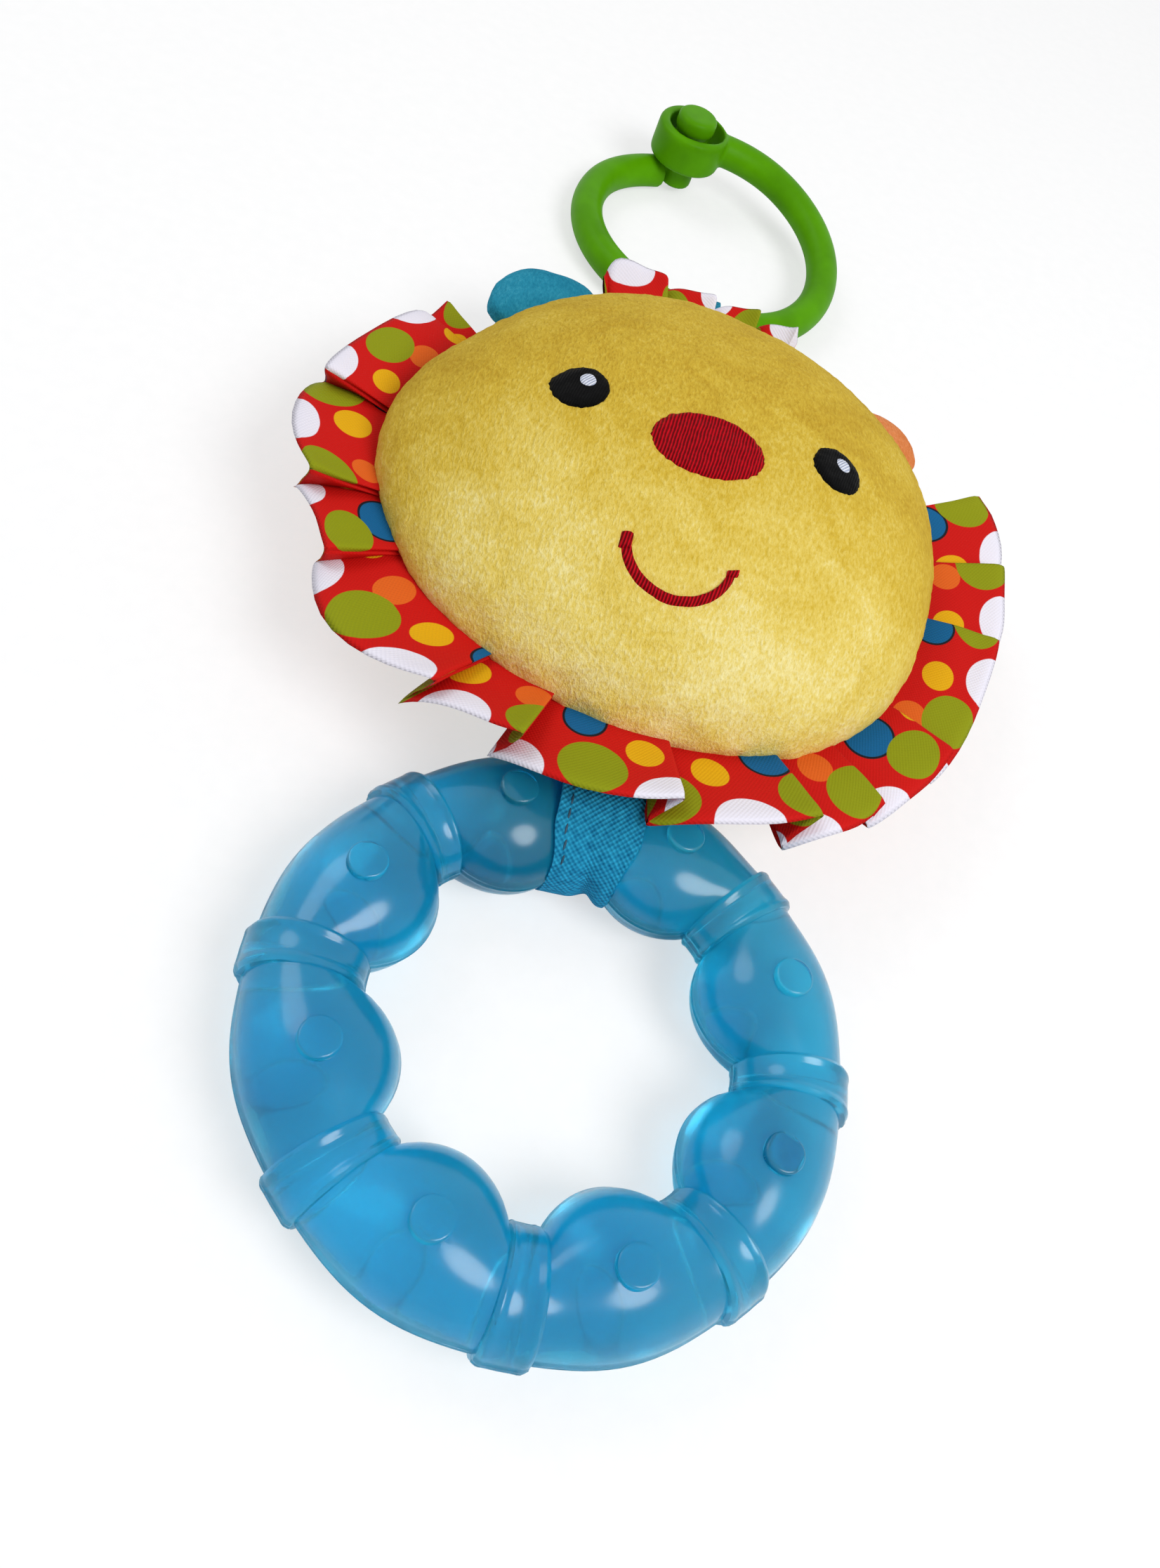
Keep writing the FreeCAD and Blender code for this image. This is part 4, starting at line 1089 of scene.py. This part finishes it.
# %% One pleat
PANEL_STEPS = 22              # columns in one pleat
STRIP_ROWS = 30               # rows from the upper gathered edge to the lower one
SEWN_IN = 1.4 * MM            # the strip is sewn this far inside the head's outline
LAYER_GAP = 0.55 * MM         # the cloth's two layers lie this far above and below their middle
UNDER_LAYER = 40              # the lower layer's print starts this far off, in millimetres


def pleat_place(along, over, marks, seeds, width_at, height_at, loose_at):
    """Place of one point of the strip: along counts pleats, and over runs from 0 at the upper
    gathered edge to 1 at the lower one."""
    pleats = len(marks) - 1
    reach = 1 - abs(1 - 2 * over)             # 0 at the seam, 1 at the fold
    index = min(pleats - 1, int(along))
    share = along - index
    wave = 2 * math.pi * share
    luck, luck_next = seeds[index], seeds[index + 1]
    lucky = luck + (luck_next - luck) * smoothstep(0.2, 0.8, share)
    overlap, tall = loose_at(marks[index] + (marks[index + 1] - marks[index]) * share)
    slip = (2.0 + (overlap - 2.0) * reach) * (0.85 + 0.3 * lucky)
    slip *= smoothstep(0.0, 0.5, along) * smoothstep(0.0, 0.5, pleats - along)
    slid = share - slip * math.sin(wave) / (2 * math.pi)
    angle = marks[index] + (marks[index + 1] - marks[index]) * slid
    rise = -math.sin(wave) - 0.28 * math.sin(2 * wave) + 0.35 * (1 - math.cos(wave))
    lift = tall * rise * (0.28 + 0.72 * reach) * (0.7 + 0.6 * lucky)
    turn = math.radians(angle)
    out = Vector((math.sin(turn), math.cos(turn), 0))
    inset = SEWN_IN - 0.5 * fullness(angle)
    root = SEAM + Vector((out.x * (HEAD_A - inset), out.y * (HEAD_B - inset), 0))
    curl = 0.035 * math.sin(wave) - 0.03 * math.cos(wave) + 0.06 * (lucky - 0.5)
    width = width_at(angle) * (1 + curl)
    gap = LAYER_GAP * math.cos(math.pi * min(1.0, max(0.0, (over - 0.5) * 9 + 0.5)))
    ripple = 0.5 * MM * noise.noise(Vector((along * 2.1, reach * 2.5, lucky * 3)))
    place = root + out * (width * reach)
    place.z = height_at(angle, reach) + lift + gap + ripple * reach
    return place


print("one pleat has", PANEL_STEPS, "columns and", STRIP_ROWS, "rows")

# %% [markdown]
# The strip is a grid with one set of columns for each pleat. The length of a row near the fold is then
# measured, so that the UV map keeps the print's true size over the pleats.


# %% Pleated strip
def pleated_strip(name, marks, width_at, height_at, loose_at, folded, lengthwise):
    """Folded strip with an S-pleat in each gap between the marks, in degrees clockwise.
    loose_at(angle) gives how far the folded edge overlaps and how high it waves."""
    pleats = len(marks) - 1
    columns = pleats * PANEL_STEPS
    deselect()
    bpy.ops.mesh.primitive_grid_add(x_subdivisions=columns, y_subdivisions=STRIP_ROWS, size=2.0)
    strip = named(name)
    seeds = [random.random() for _ in range(pleats + 1)]
    flat, edge = {}, {}
    for vertex in strip.data.vertices:
        far = (vertex.co.x + 1) / 2
        over = (vertex.co.y + 1) / 2
        across = STRIP_WIDTH - abs(1 - 2 * over) * folded / MM
        column = round(far * columns)
        flat[vertex.index] = (column, across if over <= 0.5 else -across - UNDER_LAYER)
        vertex.co = pleat_place(far * pleats, over, marks, seeds, width_at, height_at, loose_at)
        if round(over * STRIP_ROWS) == round(0.4 * STRIP_ROWS):
            edge[column] = vertex.co.copy()
    measured = [0.0]                          # along the folds, near the strip's outer edge
    for column in range(columns):
        measured.append(measured[-1] + (edge[column + 1] - edge[column]).length)
    print(name, "measures", round(measured[-1] / MM), "mm along its folds")
    print_scale = lengthwise / measured[-1] / MM
    cloth_map(strip, {index: (measured[column] * print_scale, across)
                      for index, (column, across) in flat.items()})
    strip.data.update()
    upper = sum(polygon.normal.z for polygon in strip.data.polygons if polygon.center.z > SEAM.z)
    if upper < 0:
        strip.data.flip_normals()
    smooth(strip)
    coat_with(strip, printed_cotton)
    area = sum(polygon.area for polygon in strip.data.polygons)
    print(name, "cloth area", round(area / MM ** 2), "mm2")
    return strip


# %% [markdown]
# The mane runs round the chin from cheek to cheek. Its panels were folded by hand and differ, so each
# has its own start and width, and towards the chin the strip stands up higher and looser.


# %% Mane
# Each panel: where it starts, clockwise in degrees, and how many millimetres of its width show.
MANE_PANELS = ((307, 12.5), (275, 15.5), (252, 13.0), (237, 19.0), (212, 15.5), (198, 18.5),
               (177, 17.0), (158, 17.0), (144, 15.0), (127, 13.5), (98, 15.5), (80, 17.5))
MANE_END = 62
MANE_LENGTH = 355 * MM


def mane_width(angle):
    """Width in between the panels' middles; the strip curls up where less of it shows."""
    starts = [start for start, width in MANE_PANELS] + [MANE_END]
    middles = [(high + low) / 2 for high, low in zip(starts, starts[1:])]
    widths = [width for start, width in MANE_PANELS]
    angle %= 360
    if angle >= middles[0]:
        return widths[0] * MM
    for high, low, before, after in zip(middles, middles[1:], widths, widths[1:]):
        if angle >= low:
            return (after + (before - after) * smoothstep(low, high, angle)) * MM
    return widths[-1] * smoothstep(MANE_END - 14, MANE_END + 6, angle) * MM


def chin_share(angle):
    """1 at the chin, falling to 0 on both sides of it."""
    return smoothstep(50, 0, abs(angle % 360 - 180))


def mane_height(angle, reach):
    return SEAM.z + (0.9 + 1.4 * reach + 4.4 * chin_share(angle) * reach) * MM


def mane_looseness(angle):
    chin = chin_share(angle)
    return 1.65 + 0.35 * chin, (3.0 + 1.2 * chin) * MM


mane_marks = [start - 360 for start, width in MANE_PANELS] + [MANE_END - 360]
mane = pleated_strip("mane_ruffle_cloth", mane_marks, mane_width, mane_height, mane_looseness,
                     folded=STRIP_WIDTH * MM, lengthwise=MANE_LENGTH)
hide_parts("mane_ruffle")
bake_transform(mane)

# %% [markdown]
# The crown is a short piece of the same strip, folded narrower. It stands at the top of the head in
# front of the hanging loop, and more of it shows at its left end.


# %% Crown
CROWN_MARKS = (-22, -9, 1, 10, 19)
CROWN_WIDTH, CROWN_LENGTH = 11.5 * MM, 56 * MM


def crown_width(angle):
    return (7.4 + 4.2 * smoothstep(-3, -19, angle)) * smoothstep(-28, -18, angle) * MM


def crown_height(angle, reach):
    return SEAM.z + (2.4 + 5.0 * reach) * MM


def crown_looseness(angle):
    return 1.02, 1.7 * MM


crown = pleated_strip("crown_ruffle_cloth", CROWN_MARKS, crown_width, crown_height, crown_looseness,
                      folded=CROWN_WIDTH, lengthwise=CROWN_LENGTH)
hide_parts("crown_ruffle")
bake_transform(crown)

# %% [markdown]
# The strap is a folded cotton band that loops round the ring's plain neck. It is a long grid bent
# round the same teardrop as the CAD strap, and thickened. Its UV map holds millimetres, so the weave
# keeps its scale, and the row of dark stitches near its left side is real thread, laid on top.

# %% Strap path
strap_low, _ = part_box("chin_strap")
STRAP_MIDDLE_X = RING_CENTRE.x


def teardrop_path(centre_y, centre_z, half_length, half_height, apex_y, apex_z, steps):
    """Points in the YZ plane: from the apex, round an ellipse and back to the apex."""
    across = (apex_y - centre_y) / half_length
    up = (apex_z - centre_z) / half_height
    facing = math.atan2(up, across)
    spread = math.acos(1 / math.hypot(across, up))
    points = [Vector((0, apex_y, apex_z))]
    for step in range(steps + 1):
        turn = facing + spread + (2 * math.pi - 2 * spread) * step / steps
        points.append(Vector((0, centre_y + half_length * math.cos(turn),
                              centre_z + half_height * math.sin(turn))))
    points.append(Vector((0, apex_y, apex_z)))
    return points


def even_path(points, count):
    """The same path with evenly spaced points, its length and a direction at each."""
    marks = [0.0]
    for before, after in zip(points, points[1:]):
        marks.append(marks[-1] + (after - before).length)
    result = []
    leg = 0
    for index in range(count):
        far = marks[-1] * index / (count - 1)
        while leg < len(marks) - 2 and marks[leg + 1] < far:
            leg += 1
        share = (far - marks[leg]) / (marks[leg + 1] - marks[leg])
        result.append(points[leg].lerp(points[leg + 1], share))
    return result, marks[-1]


start = Vector((0, 0, 0))
print("a path of 6 mm in 3 points:", [round(point.y / MM, 1) for point in
                                      even_path([start, start + Vector((0, 6 * MM, 0))], 3)[0]])

# %% [markdown]
# A band is a grid laid along such a path. Its rows follow the path, each vertex is pushed out a
# little so that the cloth isn't dead flat, and a Solidify modifier gives it the thickness of cloth.


# %% Band along a path
def band(name, path, length, half_width, middle_x, rows, thick, bow, crease=None):
    """Flat band along a YZ path. half_width(point) and crease(edge, share) give its half width and
    how deep it is dented, and bow is how far it waves."""
    deselect()
    bpy.ops.mesh.primitive_grid_add(x_subdivisions=rows, y_subdivisions=len(path) - 1, size=2.0)
    made = named(name)
    last = len(path) - 1
    flat = {}
    for vertex in made.data.vertices:
        edge = vertex.co.x
        index = round((vertex.co.y + 1) / 2 * last)
        point, share = path[index], index / last
        before, after = path[max(0, index - 1)], path[min(last, index + 1)]
        direction = (after - before).normalized()
        side = Vector((0, direction.z, -direction.y))
        half = half_width(point)
        flat[vertex.index] = (edge * half / MM, share * length / MM)
        wave = bow * (noise.noise(Vector((edge * 1.5, index * 0.11, 3.3))) * 0.7 + 0.3 * edge ** 2)
        if crease:
            wave -= crease(edge, share)
        vertex.co = Vector((middle_x + edge * half, point.y, point.z)) + side * wave
    cloth_map(made, flat)
    outward(made)
    add_modifier(made, "SOLIDIFY", thickness=thick, offset=0.0, use_rim=True)
    apply_modifiers(made)
    smooth(made, 50)
    return made


# %% [markdown]
# Each end of the strap lies in the seam under the chin, the front end a little above the rear one.
# The band is widest there and narrow where it turns inside the ring, and the slack side is crumpled.


# %% Strap
STRAP_ROWS = 40               # enough columns of faces across it for the crumple
chin_y = face_low.y
strap_centre_y = (strap_low.y + 0.7 * MM) + 9.75 * MM
teardrop = teardrop_path(strap_centre_y, RING_CENTRE.z, 10.1 * MM, 9.0 * MM,
                         chin_y - 1.1 * MM, SEAM.z + 0.45 * MM, 120)
front_end = Vector((0, chin_y + 0.6 * MM, SEAM.z + 1.0 * MM))
rear_end = Vector((0, chin_y + 0.6 * MM, SEAM.z - 0.1 * MM))
strap_path, strap_length = even_path([front_end] + teardrop + [rear_end], 130)


def strap_half_width(point):
    """Narrow where it turns inside the ring, widest where it is sewn to the head."""
    from_turn = (point.y - strap_low.y) / MM
    return (4.9 + 1.5 * smoothstep(0.5, 6.0, from_turn) + 0.5 * smoothstep(9.0, 22.0, from_turn)) * MM


def strap_crease(edge, share):
    """A slanting crumple where the slack strap turns inside the ring, on the side without stitches."""
    off = share - 0.44 - 0.06 * edge
    across = math.exp(-((edge - 0.3 - 2.5 * off) / 0.35) ** 2)
    beside = math.exp(-((edge - 0.85 - 3.0 * off) / 0.22) ** 2)
    return (1.4 * across - 0.2 * beside) * math.exp(-(off / 0.09) ** 2) * MM


strap = band("chin_strap_band", strap_path, strap_length, strap_half_width, STRAP_MIDDLE_X,
             STRAP_ROWS, thick=0.65 * MM, bow=0.35 * MM, crease=strap_crease)
coat_with(strap, strap_cotton)
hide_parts("chin_strap")
print("strap length in mm", round(strap_length / MM, 1))

# %% [markdown]
# One stitch is a small capsule of thread. It is modelled once and copied along the seam line, and
# the copies are joined into one piece.

# %% Strap stitches
FIRST_STITCH, LAST_STITCH, STITCH_PITCH = 6, 50, 4    # counted in points of the strap's path
STITCH_LINE = 0.74            # the seam's place, as a share of the strap's half width
STITCH_LENGTH, STITCH_WIDTH, STITCH_HEIGHT = 0.85 * MM, 0.2 * MM, 0.18 * MM    # halves
STITCH_LIFT = 0.42 * MM       # from the middle of the strap's thickness
stitches = []
for index in range(FIRST_STITCH, LAST_STITCH, STITCH_PITCH):
    here, ahead = strap_path[index], strap_path[index + 1]
    direction = (ahead - here).normalized()
    side = Vector((0, direction.z, -direction.y))
    if (here - Vector((0, strap_centre_y, RING_CENTRE.z))).dot(side) < 0:
        side = -side
    seam_x = STRAP_MIDDLE_X - strap_half_width(here) * STITCH_LINE
    centre = Vector((seam_x, here.y, here.z)) + side * STITCH_LIFT
    deselect()
    bpy.ops.mesh.primitive_uv_sphere_add(segments=10, ring_count=8, radius=1.0)
    made = named("stitch")
    reshape(made, lambda spot: centre + direction * spot.y * STITCH_LENGTH
            + Vector((spot.x * STITCH_WIDTH, 0, 0)) + side * spot.z * STITCH_HEIGHT)
    stitches.append(made)
print(len(stitches), "stitches")
strap_stitches = join(stitches[0], *stitches[1:])
strap_stitches.name = "chin_strap_stitches"
outward(strap_stitches)
smooth(strap_stitches)
coat_with(strap_stitches, seam_thread)

# %% [markdown]
# The strap's cut is narrower where it turns, so its flat area is its mean width times its length.
# Strap and stitches have their place baked into their meshes, from the head's seam down to the ring.

# %% Strap and stitches baked in place
for piece in (strap, strap_stitches):
    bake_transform(piece)

# %% [markdown]
# The hanging loop is a narrow ribbon, doubled over behind the crown, with the link's bar in its bend.
# It follows the same kind of teardrop as the strap, and its two ends lie together in the head's seam.

# %% Hanging loop
RIBBON_HALF_WIDTH, RIBBON_ROWS = 4.0 * MM, 14
RIBBON_BEND = 4.4 * MM        # radius of the ribbon's middle round the bar
loop_low, loop_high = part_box("hanging_loop")
link_axis_x = (loop_low.x + loop_high.x) / 2
near_y = loop_high.y - 4.7 * MM           # where the link's bar passes through the bend
near_z = SEAM.z - 11.45 * MM
teardrop = teardrop_path(near_y, near_z, RIBBON_BEND, RIBBON_BEND,
                         near_y - 7.3 * MM, near_z + 4.2 * MM, 80)
tail = Vector((0, loop_low.y, SEAM.z))
upper_end = tail + Vector((0, -0.2 * MM, 0.3 * MM))
lower_end = tail + Vector((0, -0.2 * MM, -0.3 * MM))
loop_path, loop_length = even_path([upper_end] + teardrop + [lower_end], 110)
ribbon = band("hanging_loop_ribbon", loop_path, loop_length, lambda point: RIBBON_HALF_WIDTH,
              link_axis_x, RIBBON_ROWS, thick=0.55 * MM, bow=0.15 * MM)
coat_with(ribbon, ribbon_cotton)
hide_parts("hanging_loop")
print("ribbon length in mm", round(loop_length / MM, 1))
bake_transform(ribbon)

# %% [markdown]
# The link is a ring of two bowed arms. One ends in an eye, the other in a peg whose knob snaps
# through it. An arm is a cylinder with many rings, bent along the link's circle. Cup, foot, stud and
# knob are bevelled cylinders. The pieces of a half are united, and a fine remesh with a little
# smoothing melts them together as in one moulding.

# %% Link sizes
LINK_RADIUS = 27.3 * MM       # of the bar's middle line
BAR = 3.45 * MM               # the bar's own radius
CLASP = math.radians(-20)     # where peg and eye meet, clockwise from the link's far end
CLASP_RADIUS = 25.8 * MM      # the clasp stands a little inside the circle
EYE_LEVEL = 8.0 * MM          # the eye's arm climbs this far to reach over the peg's
TILT = Matrix.Rotation(math.radians(-1.2), 4, "X")    # the link lies down to the table
NEAR = Vector((link_axis_x, near_y, near_z))          # its bar in the ribbon's bend


def link_point(angle, radius, level):
    """Point on the link, clockwise from its far end."""
    flat = Vector((radius * math.sin(angle), LINK_RADIUS + radius * math.cos(angle), level))
    return NEAR + TILT @ flat


def arm_radius(angle):
    """The arms draw in over the last 50 degrees before the clasp."""
    near = smoothstep(50, 0, math.degrees(abs(angle - CLASP)))
    return LINK_RADIUS + (CLASP_RADIUS - LINK_RADIUS) * near


def eye_level(angle):
    """The eye's arm climbs over the last 160 degrees."""
    return EYE_LEVEL * smoothstep(160, 0, math.degrees(angle - CLASP))


def peg_level(angle):
    return 0.0


print("link", round(2 * (LINK_RADIUS + BAR) / MM, 1), "mm across")

# %% [markdown]
# An arm is a long cylinder cut across many times and bent along the link's circle. A boss is a short
# cylinder, bevelled and set at the clasp. Both are made upright at the origin and moved by a rule.


# %% Arms and bosses
def link_arm(name, start, end, level_at):
    """Round bar from one angle to another, cut across into many short lengths so that it bends."""
    deselect()
    bpy.ops.mesh.primitive_cylinder_add(vertices=40, radius=1.0, depth=2.0, end_fill_type="TRIFAN")
    made = named(name)
    edit_edges(made, lambda a, b: abs(a.z - b.z) > 1.5)
    bpy.ops.mesh.subdivide(number_cuts=90)
    leave_edit()

    def to_arm(place):
        angle = start + (end - start) * (place.z + 1) / 2
        return link_point(angle, arm_radius(angle) + place.x * BAR, level_at(angle) + place.y * BAR)

    reshape(made, to_arm)
    outward(made)
    return made


def link_disc(name, radius, bottom, top, bevel, slot=0.0):
    """Round bevelled boss at the clasp; slot draws it out along the arm."""
    deselect()
    bpy.ops.mesh.primitive_cylinder_add(vertices=72, radius=radius, depth=top - bottom)
    made = named(name)
    if bevel:
        edit_edges(made, lambda a, b: abs(a.z - b.z) < 0.1 * MM)
        bpy.ops.mesh.bevel(offset=bevel, segments=5, affect="EDGES")
        leave_edit()
    middle = Vector((CLASP_RADIUS * math.sin(CLASP), LINK_RADIUS + CLASP_RADIUS * math.cos(CLASP),
                     (bottom + top) / 2))
    along = Vector((math.cos(CLASP), -math.sin(CLASP), 0))

    def to_clasp(place):
        shift = along * slot if place.dot(along) > 0 else Vector()
        return NEAR + TILT @ (middle + place + shift)

    reshape(made, to_clasp)
    outward(made)
    return made


print("clasp at", round(math.degrees(CLASP)), "degrees")

# %% [markdown]
# The eye is a short cup, and its hole is a little longer towards its own arm, which leaves the knob
# room as the eye swings open. The peg half carries a foot, a stud and a wider knob, one over the
# other. The pieces of a half overlap, so that the union leaves one closed skin to melt.


# %% Link halves
MELT_VOXEL = 0.45 * MM        # fine enough to keep the cup's rim
MELT_ROUNDS = 6


def moulded(obj):
    """Melt a half's parts together."""
    add_modifier(obj, "REMESH", mode="VOXEL", voxel_size=MELT_VOXEL)
    add_modifier(obj, "SMOOTH", factor=0.5, iterations=MELT_ROUNDS)
    apply_modifiers(obj)
    smooth(obj)
    coat_with(obj, link_plastic)


CUP_BOTTOM, CUP_TOP = 3.85 * MM, 11.85 * MM
CUP_RADIUS, HOLE_RADIUS, HOLE_SLOT = 8.1 * MM, 5.8 * MM, 1.4 * MM
eye_half = link_arm("link_eye_moulding", math.pi, CLASP + math.radians(12), eye_level)
boolean(eye_half, link_disc("cup", CUP_RADIUS, CUP_BOTTOM, CUP_TOP, 1.0 * MM), "UNION")
boolean(eye_half, link_disc("hole", HOLE_RADIUS, CUP_BOTTOM - 3.9 * MM, CUP_TOP + 2.9 * MM, 0,
                            HOLE_SLOT), "DIFFERENCE")
moulded(eye_half)
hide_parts("link_eye_half")
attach(eye_half, "link_eye")

peg_half = link_arm("link_peg_moulding", -math.pi, CLASP - math.radians(10), peg_level)
for name, radius, bottom, top, bevel in (
        ("foot", 3.6 * MM, -BAR + 1.5 * MM, CUP_BOTTOM - 0.25 * MM, 0.6 * MM),
        ("stud", 3.8 * MM, 2.0 * MM, 12.5 * MM, 0),
        ("knob", 4.5 * MM, 10.7 * MM, 14.4 * MM, 0.9 * MM)):
    boolean(peg_half, link_disc(name, radius, bottom, top, bevel), "UNION")
moulded(peg_half)
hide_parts("link_peg_half")
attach(peg_half, "link_peg")
print("link", len(eye_half.data.polygons), len(peg_half.data.polygons), "faces")
